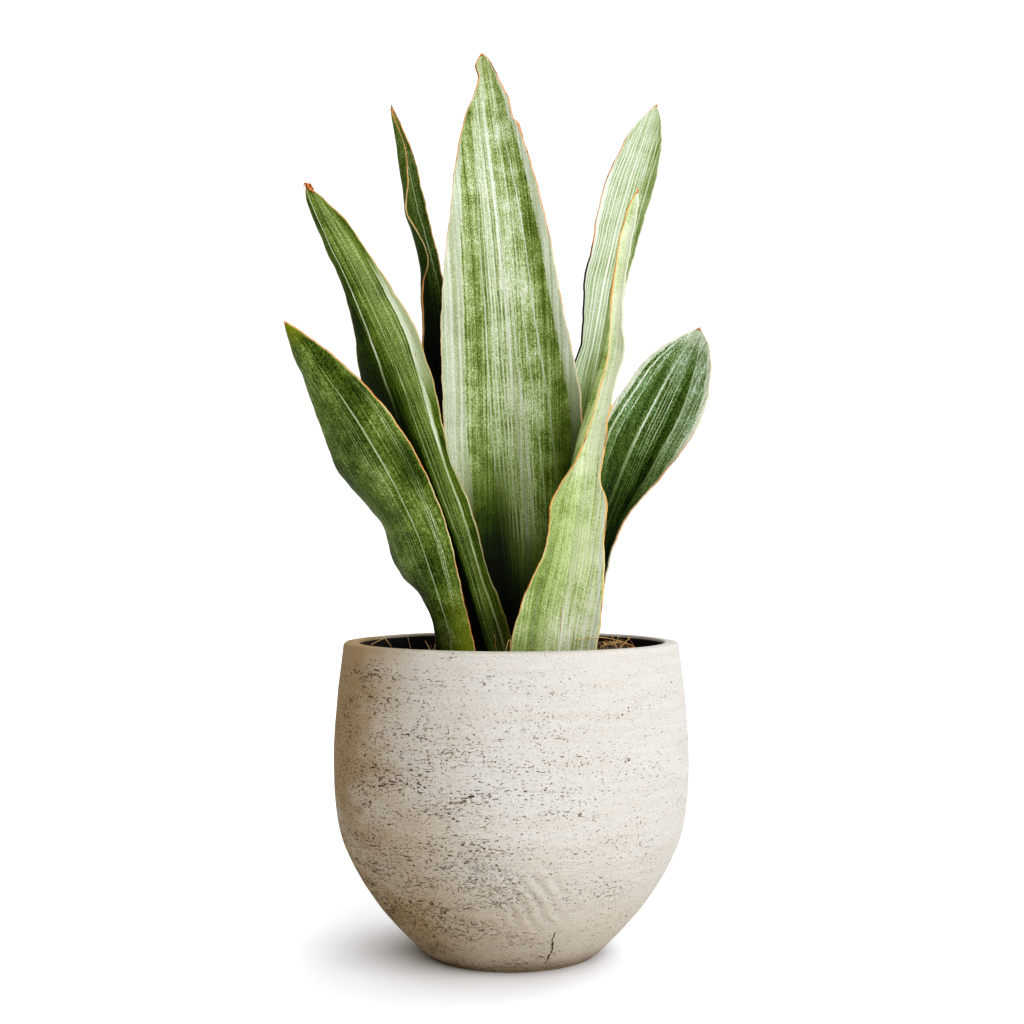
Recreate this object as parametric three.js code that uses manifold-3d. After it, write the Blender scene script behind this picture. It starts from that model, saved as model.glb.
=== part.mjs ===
// Potted metallica snake plant: a round fibre-clay planter filled with potting soil, and seven
// stiff pointed leaves that grow from one buried rhizome.
// Millimetres, +Z up. The origin is the centre of the planter's flat base.
// +X is to the right and -Y is towards someone who looks at the plant's front.

import * as THREE from 'three';
import { mergeVertices } from 'three/addons/utils/BufferGeometryUtils.js';
import Module from 'manifold-3d';

// Driving dimensions

const PLANTER_DIAMETER = 200;
const PLANTER_HEIGHT = 174;
const PLANTER_BASE_RADIUS = 48;
const PLANTER_WALL = 9;
const PLANTER_FLOOR = 12;
const PLANTER_SIDES = 56;
const PLANTER_OUTSIDE_STEPS = 14;
const RIM_OUTER_ROUND = 2.5;
const RIM_INNER_ROUND = 1.8;

const SOIL_BELOW_RIM = 10;
const SOIL_MOUND = 2;
// Height of the lumps above or below the mound, and their length along x and y
const SOIL_LUMP = { height: 0.7, x: 44, y: 38 };
const SOIL_RINGS = 7;
// Loose heap beside the front right leaf: centre x, y, height and spread
const SOIL_HEAP = { x: 60, y: 28, height: 5, spread: 20 };

// Gap between pieces that touch
const CLEARANCE = 0.3;

const LEAF_STATIONS = 27;
const LEAF_CUTS_ACROSS = 4;
const LEAF_BASE_THICKNESS = 4.6;
const LEAF_MIDDLE_THICKNESS = 2.6;
const LEAF_TIP_THICKNESS = 1.5;
const LEAF_MARGIN_THICKNESS = 1.0;
// Share of a half's fold that is already there at the midrib
const MIDRIB_CREASE = 0.2;

const RHIZOME_HEIGHT = 124;
const RHIZOME_RADIUS = 7;
const RHIZOME_SIDES = 9;
const SHOOT_RADIUS = 11;
const SHOOT_BOTTOM = 114;
const SHOOT_TOP = 143;

// The seven leaves. Every row starts with a height above the floor.
// midrib rows: height, x, y of the line along the middle of the blade.
// left and right rows: height, width of that half measured over its surface.
// set rows: height, turn of the blade about its length, fold of the left and of the right half.
// A positive turn looks to the right, and a positive fold bends the half towards the front.

const LEAVES = [
  {
    name: 'leaf_front_left',
    colour: 0x4c7339,
    midrib: [
      [136, -23, -27], [170, -29.5, -30], [201, -40, -36], [235, -53.5, -42],
      [269, -72, -49], [308, -95.5, -59], [345, -118.5, -70],
    ],
    left: [
      [136, 9], [170, 17], [189, 13], [203, 18], [213, 26], [228, 27], [243, 23],
      [255, 28], [270, 32.5], [288, 26.5], [308, 19], [328, 11.5], [345, 0.8],
    ],
    right: [
      [136, 8], [170, 10.5], [201, 14.5], [235, 20.5], [269, 25], [288, 24], [308, 19],
      [328, 10.5], [345, 0.8],
    ],
    set: [[136, -25, -20, -20], [235, -28, -20, -16], [300, -27, -14, -12], [345, -25, -25, -25]],
  },
  {
    name: 'leaf_mid_left',
    colour: 0x557a43,
    midrib: [
      [136, -4, -6], [169, -11, -8], [190, -16, -10], [220, -24, -12], [247, -33, -14],
      [278, -44, -17], [311, -57, -20], [342, -71.5, -23], [376, -88, -27], [405, -103, -31],
      [424, -112, -34],
    ],
    left: [
      [136, 8], [190, 14], [247, 17], [305, 24], [323, 26], [342, 20], [360, 13.5], [376, 9.5],
      [395, 8.5], [410, 8], [418, 5.5], [424, 0.8],
    ],
    right: [
      [136, 10], [169, 15.5], [220, 12], [247, 14], [278, 12], [311, 19.5], [328, 22],
      [342, 22.5], [376, 18.5], [395, 15], [405, 12], [416, 7], [424, 0.8],
    ],
    set: [
      [136, 15, -30, -25], [278, 15, -50, -25], [342, 10, -40, -22], [405, 10, -60, -25],
      [424, 10, -60, -30],
    ],
  },
  {
    name: 'leaf_centre',
    colour: 0x7f9f6b,
    midrib: [
      [136, 3, 12], [202, 1.5, 12], [271, 0.4, 13], [340, -0.8, 14], [409, -4.2, 13],
      [478, -12.3, 11], [511, -17, 10],
    ],
    left: [
      [136, 8.5], [168, 17], [202, 28], [236, 34.5], [271, 38.5], [306, 41], [340, 41],
      [375, 39], [409, 33.5], [444, 26.5], [478, 15], [496, 5], [504, 5.5], [511, 0.8],
    ],
    right: [
      [136, 8.5], [168, 16.5], [202, 31.5], [236, 37], [271, 41.5], [306, 42.5], [340, 36.5],
      [375, 30.5], [409, 26], [444, 20.5], [478, 13.5], [500, 6.5], [507, 4], [511, 0.8],
    ],
    set: [[136, -5, 32, 32], [202, -4, 26, 26], [306, 0, 15, 15], [409, 3, 10, 12], [511, 5, 20, 20]],
  },
  {
    name: 'leaf_back_right',
    colour: 0x93ac82,
    midrib: [
      [136, 27, 33], [201, 31.5, 38], [273, 38.5, 46], [345, 50, 54], [416, 63.5, 62],
      [448, 72, 66], [476, 81, 70], [499, 89.5, 73],
    ],
    left: [
      [136, 9], [201, 17], [273, 20], [309, 18], [345, 14], [363, 15.5], [382, 18.5], [416, 18.5],
      [448, 18], [476, 12.2], [499, 0.8],
    ],
    right: [
      [136, 8], [201, 13.5], [273, 16.5], [345, 14.5], [382, 12.5], [416, 15], [448, 16],
      [476, 12.5], [490, 7], [499, 0.8],
    ],
    set: [[136, 10, 25, 25], [273, 18, 25, 25], [345, 20, 25, 25], [448, 20, 20, 22], [499, 20, 20, 20]],
  },
  {
    name: 'leaf_front_right',
    colour: 0x9ab583,
    midrib: [
      [136, 20, -36], [171, 22.7, -35], [195, 26.5, -34], [220, 32, -32], [244, 36, -30],
      [266, 39, -27], [286, 41, -24], [308, 47, -21], [336, 53.5, -16], [365, 57.5, -10],
      [399, 64, -3], [430, 72, 4],
    ],
    left: [
      [136, 9], [154, 18.5], [171, 25.5], [195, 22.5], [220, 17.5], [232, 18], [244, 21.5], [260, 19.5],
      [286, 15], [308, 13], [336, 11], [365, 6.5], [399, 5], [420, 3.5], [430, 0.8],
    ],
    right: [
      [136, 9], [154, 18], [171, 24.5], [195, 24], [220, 20], [235, 18], [252, 16.5], [266, 11],
      [286, 14], [303, 10.5], [320, 10], [336, 12], [350, 9], [365, 6.5], [399, 5.5],
      [420, 3.5], [430, 0.8],
    ],
    set: [
      [136, 10, 8, 20], [171, 18, 4, 28], [220, 20, 8, 28], [244, 20, 22, 34], [266, 18, 48, 38],
      [286, 14, 76, 40], [336, 12, 84, 42], [365, 12, 68, 46], [399, 12, 36, 42], [430, 12, 22, 36],
    ],
  },
  {
    name: 'leaf_right',
    colour: 0x4f7346,
    midrib: [
      [136, 39, 10], [168, 41, 10], [191, 44.5, 10], [214, 49, 11], [236, 56, 12],
      [260, 65, 13], [285, 75, 15], [309, 86, 17], [330, 96.5, 19], [354, 109.5, 22],
    ],
    left: [
      [136, 7], [168, 9], [214, 13], [236, 17], [260, 22.5], [285, 27.5], [309, 23.5],
      [330, 18], [346, 8], [354, 0.8],
    ],
    right: [
      [136, 7], [168, 8.5], [214, 7.5], [236, 7.5], [248, 9.5], [260, 14.5], [285, 25.5],
      [309, 28.5], [330, 23], [346, 13], [354, 0.8],
    ],
    set: [[136, -6, 32, 24], [214, -14, 34, 20], [260, -20, 34, 12], [309, -22, 30, 6], [354, -22, 26, 6]],
  },
  {
    name: 'leaf_back_left',
    colour: 0x3f5f35,
    midrib: [
      [136, -26, 46], [201, -33, 50], [273, -39, 54], [346, -46, 57], [382, -50, 59],
      [413, -56, 61], [444, -63, 64], [473, -69, 67], [497, -73.5, 69],
    ],
    left: [
      [136, 8], [201, 12], [273, 16], [346, 18], [382, 17], [400, 14], [420, 16], [444, 16],
      [473, 10], [497, 0.8],
    ],
    right: [
      [136, 8], [201, 12], [273, 14], [346, 12.5], [413, 9.5], [444, 9.5], [473, 7], [497, 0.8],
    ],
    set: [
      [136, 30, 20, 30], [273, 40, 23, 38], [346, 42, 28, 40], [382, 42, 38, 40], [400, 42, 66, 40],
      [425, 42, 33, 40], [444, 42, 53, 40], [473, 42, 72, 40], [497, 40, 45, 40],
    ],
  },
];

const wasm = await Module();
wasm.setup();

// Small helpers

function degrees(angle) {
  return THREE.MathUtils.degToRad(angle);
}

// Smooth curve through rows of [height, value, value, ...], read at one height.
function along(rows, height) {
  const last = rows.length - 1;
  const h = THREE.MathUtils.clamp(height, rows[0][0], rows[last][0]);
  let k = 0;
  while (k < last - 1 && h > rows[k + 1][0]) {
    k += 1;
  }
  const [a, b] = [rows[k], rows[k + 1]];
  const before = rows[Math.max(k - 1, 0)];
  const after = rows[Math.min(k + 2, last)];
  const step = b[0] - a[0];
  const t = (h - a[0]) / step;
  return a.slice(1).map((value, i) => {
    const column = i + 1;
    const slopeA = (b[column] - before[column]) / (b[0] - before[0]);
    const slopeB = (after[column] - value) / (after[0] - a[0]);
    return THREE.MathUtils.lerp(value, b[column], t * t * (3 - 2 * t))
      + step * t * (1 - t) * ((1 - t) * slopeA - t * slopeB);
  });
}

// A closed mesh made a solid that can be joined and cut.
function toSolid(geometry) {
  const bare = geometry.clone();
  bare.deleteAttribute('normal');
  bare.deleteAttribute('uv');
  const merged = mergeVertices(bare, 1e-4);
  return new wasm.Manifold(new wasm.Mesh({
    numProp: 3,
    vertProperties: new Float32Array(merged.attributes.position.array),
    triVerts: new Uint32Array(merged.index.array),
  }));
}

function toGeometry(solid) {
  const mesh = solid.getMesh();
  const geometry = new THREE.BufferGeometry();
  geometry.setAttribute('position', new THREE.BufferAttribute(mesh.vertProperties, mesh.numProp));
  geometry.setIndex(new THREE.BufferAttribute(mesh.triVerts, 1));
  geometry.computeVertexNormals();
  return geometry;
}

function makeMesh(name, geometry, colour, roughness) {
  const material = new THREE.MeshStandardMaterial({ color: colour, roughness, metalness: 0 });
  const mesh = new THREE.Mesh(geometry, material);
  mesh.name = name;
  return mesh;
}

// A profile of [radius, height] points turned round the vertical axis.
function turned(points, sides) {
  return new THREE.LatheGeometry(points, sides).rotateX(Math.PI / 2);
}

// Planter

// Places up the inner wall, from the floor at 0 to the mouth at 1, closer where it curves more
const INSIDE_LEVELS = [0, 0.08, 0.2, 0.36, 0.58, 0.8, 1];
const INSIDE_SAMPLES = 40;

// The outside swells from a narrow flat base to its full width above half height, then draws in.
function planterOutside() {
  const radius = PLANTER_DIAMETER / 2;
  const shape = [
    [PLANTER_BASE_RADIUS / radius, 0],
    [0.617, 0.077],
    [0.759, 0.172],
    [0.893, 0.296],
    [0.972, 0.419],
    [1, 0.6],
    [0.983, 0.805],
    [0.947, 1 - RIM_OUTER_ROUND / PLANTER_HEIGHT],
  ];
  return new THREE.SplineCurve(
    shape.map(([r, h]) => new THREE.Vector2(r * radius, h * PLANTER_HEIGHT)),
  );
}

// The inside follows the outside at the wall's thickness, from the floor up to the mouth.
function planterInside() {
  const outside = planterOutside();
  const offset = [];
  for (let i = 0; i <= INSIDE_SAMPLES; i += 1) {
    const at = outside.getPoint(i / INSIDE_SAMPLES);
    const run = outside.getTangent(i / INSIDE_SAMPLES);
    offset.push(new THREE.Vector2(at.x - PLANTER_WALL * run.y, at.y + PLANTER_WALL * run.x));
  }
  return INSIDE_LEVELS.map((share) => {
    const height = THREE.MathUtils.lerp(PLANTER_FLOOR, PLANTER_HEIGHT - RIM_INNER_ROUND, share);
    return new THREE.Vector2(radiusAt(offset, height), height);
  });
}

// Radius of an upward run of [radius, height] points at one height.
function radiusAt(points, height) {
  const above = points.findIndex((point) => point.y >= height);
  const k = above < 1 ? points.length - 1 : above;
  const [a, b] = [points[k - 1], points[k]];
  return THREE.MathUtils.mapLinear(height, a.y, b.y, a.x, b.x);
}

function quarterRound(centreX, centreY, radius, start, steps) {
  const points = [];
  for (let i = 0; i <= steps; i += 1) {
    const angle = start + (i / steps) * (Math.PI / 2);
    points.push(new THREE.Vector2(centreX + radius * Math.cos(angle), centreY + radius * Math.sin(angle)));
  }
  return points;
}

function makePlanter() {
  const outside = planterOutside().getPoints(PLANTER_OUTSIDE_STEPS);
  const lip = outside[outside.length - 1];
  const inside = planterInside();
  const mouth = inside[inside.length - 1];
  const profile = [
    new THREE.Vector2(0, 0),
    ...outside.slice(0, -1),
    ...quarterRound(lip.x - RIM_OUTER_ROUND, lip.y, RIM_OUTER_ROUND, 0, 3),
    ...quarterRound(mouth.x + RIM_INNER_ROUND, mouth.y, RIM_INNER_ROUND, Math.PI / 2, 2).slice(0, -1),
    ...inside.reverse(),
    new THREE.Vector2(0, PLANTER_FLOOR),
  ];
  return turned(profile, PLANTER_SIDES);
}

// Leaf blades

// Thickness at the midrib: a stout base, an even blade and a thin tip.
function midribThickness(share) {
  const rows = [
    [0, LEAF_BASE_THICKNESS],
    [0.3, LEAF_MIDDLE_THICKNESS + 0.6],
    [0.7, LEAF_MIDDLE_THICKNESS],
    [1, LEAF_TIP_THICKNESS],
  ];
  return along(rows, share)[0];
}

// One half of the cross-section is an arc. Gives the place of the point at a share q of the
// half's width, across the blade and towards its front, and the slope of the arc there.
function halfSection(width, fold, q) {
  const bend = Math.abs(fold) < 1e-3 ? 1e-3 : fold;
  const start = MIDRIB_CREASE * bend;
  const gain = 2 * (1 - MIDRIB_CREASE) * bend;
  const slope = start + gain * q;
  return {
    across: (width * (Math.sin(slope) - Math.sin(start))) / gain,
    front: (width * (Math.cos(start) - Math.cos(slope))) / gain,
    slope,
  };
}

// The points of one cross-section: the front face from left to right, then the back face
// from right to left. grow makes the section that much larger all round.
function leafSection(leaf, height, grow) {
  const root = leaf.midrib[0][0];
  const tip = leaf.midrib[leaf.midrib.length - 1][0];
  const share = (height - root) / (tip - root);
  const place = (h) => {
    const [x, y] = along(leaf.midrib, h);
    return new THREE.Vector3(x, y, h);
  };
  const centre = place(height);
  const ahead = place(Math.min(height + 1, tip));
  const behind = place(Math.max(height - 1, root));
  const length = ahead.sub(behind).normalize();
  const [turn, foldLeft, foldRight] = along(leaf.set, height).map(degrees);
  const across = new THREE.Vector3(Math.cos(turn), Math.sin(turn), 0);
  across.addScaledVector(length, -across.dot(length)).normalize();
  const front = new THREE.Vector3().crossVectors(across, length);
  const thick = midribThickness(share);
  const frontFace = [];
  const backFace = [];
  for (let j = -LEAF_CUTS_ACROSS; j <= LEAF_CUTS_ACROSS; j += 1) {
    const side = Math.sign(j);
    const q = Math.abs(j) / LEAF_CUTS_ACROSS;
    const fold = side < 0 ? foldLeft : foldRight;
    const width = along(side < 0 ? leaf.left : leaf.right, height)[0] + grow;
    const at = halfSection(width, fold, q);
    const lean = side === 0 ? (MIDRIB_CREASE * (foldRight - foldLeft)) / 2 : side * at.slope;
    const half = THREE.MathUtils.lerp(thick, LEAF_MARGIN_THICKNESS, q * q) / 2 + grow;
    const middle = centre.clone()
      .addScaledVector(across, side * at.across)
      .addScaledVector(front, at.front);
    const outward = front.clone().multiplyScalar(Math.cos(lean))
      .addScaledVector(across, -Math.sin(lean));
    frontFace.push(middle.clone().addScaledVector(outward, half));
    backFace.unshift(middle.clone().addScaledVector(outward, -half));
  }
  return [...frontFace, ...backFace];
}

// A blade lofted through its cross-sections. Each quad of the back face starts at the corner that
// its partner on the front face starts at, so both faces are split along the same diagonals.
function leafGeometry(leaf, grow = 0) {
  const root = leaf.midrib[0][0];
  const tip = leaf.midrib[leaf.midrib.length - 1][0];
  const sections = [];
  for (let i = 0; i <= LEAF_STATIONS; i += 1) {
    sections.push(leafSection(leaf, THREE.MathUtils.lerp(root, tip, i / LEAF_STATIONS), grow));
  }
  if (grow > 0) {
    sections[0].forEach((point) => {
      point.z -= grow;
    });
  }
  const ring = sections[0].length;
  const cuts = 2 * LEAF_CUTS_ACROSS;
  const top = LEAF_STATIONS;
  const index = [];
  const frontAt = (i, j) => i * ring + j;
  const backAt = (i, j) => i * ring + ring - 1 - j;
  const quad = (a, b, c, d) => index.push(a, b, c, a, c, d);
  for (let i = 0; i < LEAF_STATIONS; i += 1) {
    for (let j = 0; j < cuts; j += 1) {
      quad(frontAt(i, j), frontAt(i, j + 1), frontAt(i + 1, j + 1), frontAt(i + 1, j));
      quad(backAt(i, j), backAt(i + 1, j), backAt(i + 1, j + 1), backAt(i, j + 1));
    }
    quad(backAt(i, 0), frontAt(i, 0), frontAt(i + 1, 0), backAt(i + 1, 0));
    quad(frontAt(i, cuts), backAt(i, cuts), backAt(i + 1, cuts), frontAt(i + 1, cuts));
  }
  for (let j = 0; j < cuts; j += 1) {
    quad(frontAt(0, j), backAt(0, j), backAt(0, j + 1), frontAt(0, j + 1));
    quad(frontAt(top, j), frontAt(top, j + 1), backAt(top, j + 1), backAt(top, j));
  }
  const geometry = new THREE.BufferGeometry();
  geometry.setAttribute('position', new THREE.Float32BufferAttribute(
    sections.flat().flatMap((point) => point.toArray()),
    3,
  ));
  geometry.setIndex(index);
  geometry.computeVertexNormals();
  return geometry;
}

// Rhizome

function rootOf(name) {
  const [, x, y] = LEAVES.find((leaf) => leaf.name === name).midrib[0];
  return new THREE.Vector3(x, y, RHIZOME_HEIGHT);
}

// A stretch of the creeping stem between the roots of two leaves.
function stemStretch(from, to, radius) {
  const span = new THREE.Vector3().subVectors(to, from);
  const stem = new THREE.CylinderGeometry(radius, radius, span.length(), RHIZOME_SIDES);
  const upright = new THREE.Vector3(0, 1, 0);
  stem.applyQuaternion(new THREE.Quaternion().setFromUnitVectors(upright, span.clone().normalize()));
  const middle = new THREE.Vector3().addVectors(from, to).multiplyScalar(0.5);
  stem.translate(middle.x, middle.y, middle.z);
  return toSolid(stem);
}

// A knobbly shoot, fattest where the creeping stem meets it, round the root of one leaf.
// Its side goes through shares of the full radius and of the height.
function shoot(at, grow) {
  const height = SHOOT_TOP - SHOOT_BOTTOM;
  const side = [[0.6, 0], [1, 0.25], [0.95, 0.6], [0.75, 1]].map(([radius, up]) => {
    return new THREE.Vector2(radius * SHOOT_RADIUS + grow, up * (height + 2 * grow) - grow);
  });
  const profile = [new THREE.Vector2(0, -grow), ...side, new THREE.Vector2(0, height + grow)];
  const knob = turned(profile, RHIZOME_SIDES);
  knob.translate(at.x, at.y, SHOOT_BOTTOM);
  return toSolid(knob);
}

// The creeping stem runs from leaf to leaf, with a shoot round each leaf's root.
function rhizomeSolid(grow) {
  const runs = [
    ['leaf_back_left', 'leaf_centre'],
    ['leaf_centre', 'leaf_mid_left'],
    ['leaf_mid_left', 'leaf_front_left'],
    ['leaf_mid_left', 'leaf_front_right'],
    ['leaf_centre', 'leaf_back_right'],
    ['leaf_centre', 'leaf_right'],
  ];
  const stems = runs.map(([a, b]) => stemStretch(rootOf(a), rootOf(b), RHIZOME_RADIUS + grow));
  const shoots = LEAVES.map((leaf) => shoot(rootOf(leaf.name), grow));
  return [...stems, ...shoots].reduce((whole, piece) => whole.add(piece));
}

// Potting soil

// Height that lumps and the loose heap add to the smooth mound. The lumps are two crossing waves,
// and each is bent by a longer wave the other way.
function soilRelief(x, y) {
  const alongX = (2 * Math.PI * x) / SOIL_LUMP.x;
  const alongY = (2 * Math.PI * y) / SOIL_LUMP.y;
  const lumps = Math.sin(alongX + Math.sin(alongY / 2)) + Math.sin(alongY) * Math.cos(alongX / 2);
  const away = ((x - SOIL_HEAP.x) ** 2 + (y - SOIL_HEAP.y) ** 2) / SOIL_HEAP.spread ** 2;
  return SOIL_LUMP.height * lumps + SOIL_HEAP.height * Math.exp(-away);
}

function soilBody() {
  const bottom = PLANTER_FLOOR + CLEARANCE;
  const edgeTop = PLANTER_HEIGHT - SOIL_BELOW_RIM;
  const wall = planterInside();
  const between = wall.map((point) => point.y).filter((y) => y > bottom && y < edgeTop);
  const levels = [bottom, ...between, edgeTop];
  // The wall leans, so the sideways gap is a little wider than the clearance itself
  const gap = 1.5 * CLEARANCE;
  const side = levels.map((height) => new THREE.Vector2(radiusAt(wall, height) - gap, height));
  const edge = side[side.length - 1].x;
  const top = [];
  for (let i = SOIL_RINGS - 1; i >= 0; i -= 1) {
    const share = i / SOIL_RINGS;
    top.push(new THREE.Vector2(edge * share, edgeTop + SOIL_MOUND * (1 - share * share)));
  }
  const heap = turned([new THREE.Vector2(0, bottom), ...side, ...top], PLANTER_SIDES);
  const place = heap.attributes.position;
  for (let i = 0; i < place.count; i += 1) {
    const [x, y, z] = [place.getX(i), place.getY(i), place.getZ(i)];
    if (z > edgeTop + 0.01) {
      place.setZ(i, z + soilRelief(x, y));
    }
  }
  return toSolid(heap);
}

// Assembly

const plant = new THREE.Group();
plant.add(makeMesh('planter', makePlanter(), 0xcfc5b6, 0.9));

const leafCuts = LEAVES.map((leaf) => toSolid(leafGeometry(leaf, CLEARANCE)));
const allLeafCuts = leafCuts.reduce((whole, piece) => whole.add(piece));
const rhizome = rhizomeSolid(0).subtract(allLeafCuts);
const soil = soilBody().subtract(allLeafCuts).subtract(rhizomeSolid(CLEARANCE));
plant.add(makeMesh('potting_soil', toGeometry(soil), 0x2a221b, 1));
plant.add(makeMesh('rhizome', toGeometry(rhizome), 0xb98a5a, 0.8));

LEAVES.forEach((leaf) => {
  plant.add(makeMesh(leaf.name, leafGeometry(leaf), leaf.colour, 0.45));
});

export default plant;
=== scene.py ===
"""Potted snake plant: seven stiff leaves in a round fibre-clay planter, dressed over its frame.

Everything is in metres, +Z up, with the origin at the centre of the planter's flat base. +X is to
the right and -Y is towards the viewer of the front. Leaf rows are given by height above the floor.
"""

import logging
import math
import random
from dataclasses import dataclass, field
from enum import Enum
from functools import cached_property, reduce
from typing import Any, Callable, Iterable, Sequence

import bpy
import numpy as np
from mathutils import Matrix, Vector, noise


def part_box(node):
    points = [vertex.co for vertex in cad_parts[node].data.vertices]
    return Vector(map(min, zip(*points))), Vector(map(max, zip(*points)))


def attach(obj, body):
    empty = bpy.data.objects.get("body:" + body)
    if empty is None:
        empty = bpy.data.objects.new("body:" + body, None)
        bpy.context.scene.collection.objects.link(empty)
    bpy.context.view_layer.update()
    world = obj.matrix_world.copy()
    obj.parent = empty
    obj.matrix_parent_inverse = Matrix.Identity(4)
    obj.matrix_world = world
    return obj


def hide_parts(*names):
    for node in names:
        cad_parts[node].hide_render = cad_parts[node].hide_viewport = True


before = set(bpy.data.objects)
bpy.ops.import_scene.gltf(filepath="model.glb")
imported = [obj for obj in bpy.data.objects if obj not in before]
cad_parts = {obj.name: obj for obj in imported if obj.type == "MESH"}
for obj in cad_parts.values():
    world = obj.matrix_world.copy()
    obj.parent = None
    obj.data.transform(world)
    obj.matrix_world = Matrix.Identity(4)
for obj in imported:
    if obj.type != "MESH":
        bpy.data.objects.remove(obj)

LOG = logging.getLogger("snake_plant")

BODY = "root"

Rows = tuple[tuple[float, ...], ...]
Colour = tuple[float, float, float, float]
Point = tuple[float, float, float]
Span = tuple[float, float]
Stops = tuple[tuple[float, Colour], ...]


def paint(red: int, green: int, blue: int) -> Colour:
    """A colour as a paint chart gives it, 0 to 255, made linear.

    Args:
        red: Share of red, 0 to 255.
        green: Share of green, 0 to 255.
        blue: Share of blue, 0 to 255.

    Returns:
        The linear colour with full alpha.
    """
    shares = [value / 255 for value in (red, green, blue)]
    linear = [v / 12.92 if v <= 0.04045 else ((v + 0.055) / 1.055) ** 2.4 for v in shares]
    return (linear[0], linear[1], linear[2], 1.0)


def follow(rows: Rows, places: np.ndarray) -> np.ndarray:
    """Reads a smooth curve through rows of (place, value, value, ...).

    Args:
        rows: The rows, in rising order of place.
        places: Where the curve is read.

    Returns:
        One line of values for each place.
    """
    table = np.array(rows, float)
    last = len(table) - 1
    at = np.clip(places, table[0, 0], table[last, 0])
    k = np.clip(np.searchsorted(table[:, 0], at) - 1, 0, last - 1)
    a = table[k]
    b = table[k + 1]
    before = table[np.maximum(k - 1, 0)]
    after = table[np.minimum(k + 2, last)]
    step = b[:, :1] - a[:, :1]
    t = (at[:, None] - a[:, :1]) / step
    slope_a = (b - before) / (b[:, :1] - before[:, :1])
    slope_b = (after - a) / (after[:, :1] - a[:, :1])
    smooth = a + (b - a) * t * t * (3 - 2 * t)
    return (smooth + step * t * (1 - t) * ((1 - t) * slope_a - t * slope_b))[:, 1:]


def ease(values: np.ndarray, low: float, high: float) -> np.ndarray:
    """A smooth rise from 0 at low to 1 at high.

    Args:
        values: The numbers to ease.
        low: Where the rise starts.
        high: Where the rise ends.

    Returns:
        The eased numbers, 0 to 1.
    """
    t = np.clip((values - low) / (high - low), 0, 1)
    return t * t * (3 - 2 * t)


@dataclass(frozen=True)
class Grain:
    """A kind of cloudy noise.

    stretch is how many clouds there are in a metre along each axis, detail how many finer layers
    it has, shift moves it so that two alike differ, and rough is how strong the finer layers are.
    """

    stretch: Point
    detail: float = 2.0
    shift: float = 0.0
    rough: float = 0.5


class Signal:
    """A number that a shader works out, with Python's arithmetic on it."""

    def __init__(self, bench: "Bench", socket: bpy.types.NodeSocket) -> None:
        """Wraps one output socket of a node on the bench."""
        self.bench = bench
        self.socket = socket

    def __add__(self, other: "Signal | float") -> "Signal":
        """This plus other."""
        return self.bench.maths("ADD", self, other)

    def __sub__(self, other: "Signal | float") -> "Signal":
        """This less other."""
        return self.bench.maths("SUBTRACT", self, other)

    def __rsub__(self, other: float) -> "Signal":
        """Other less this."""
        return self.bench.maths("SUBTRACT", other, self)

    def __mul__(self, other: "Signal | float") -> "Signal":
        """This times other."""
        return self.bench.maths("MULTIPLY", self, other)

    __radd__ = __add__
    __rmul__ = __mul__

    def size(self) -> "Signal":
        """The number without its sign."""
        return self.bench.maths("ABSOLUTE", self)

    def most(self, other: "Signal | float") -> "Signal":
        """The larger of this and other."""
        return self.bench.maths("MAXIMUM", self, other)

    def least(self, other: "Signal | float") -> "Signal":
        """The smaller of this and other."""
        return self.bench.maths("MINIMUM", self, other)

    def share(self) -> "Signal":
        """The number, kept from 0 to 1."""
        return self.most(0.0).least(1.0)

    def root(self) -> "Signal":
        """Its square root."""
        return self.bench.maths("SQRT", self)

    def sine(self) -> "Signal":
        """Its sine, taken in radians."""
        return self.bench.maths("SINE", self)

    def rise(self, low: "Signal | float", high: "Signal | float") -> "Signal":
        """A smooth rise from 0 to 1.

        Args:
            low: Where the rise starts.
            high: Where it ends.

        Returns:
            How far this has risen.
        """
        sockets = {"Value": self, "From Min": low, "From Max": high}
        node = self.bench.make("ShaderNodeMapRange", {"interpolation_type": "SMOOTHSTEP"}, sockets)
        return Signal(self.bench, node.outputs["Result"])

    def fall(self, low: "Signal | float", high: "Signal | float") -> "Signal":
        """A smooth fall from 1, where this is low, to 0, where it is high."""
        return 1 - self.rise(low, high)


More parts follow.
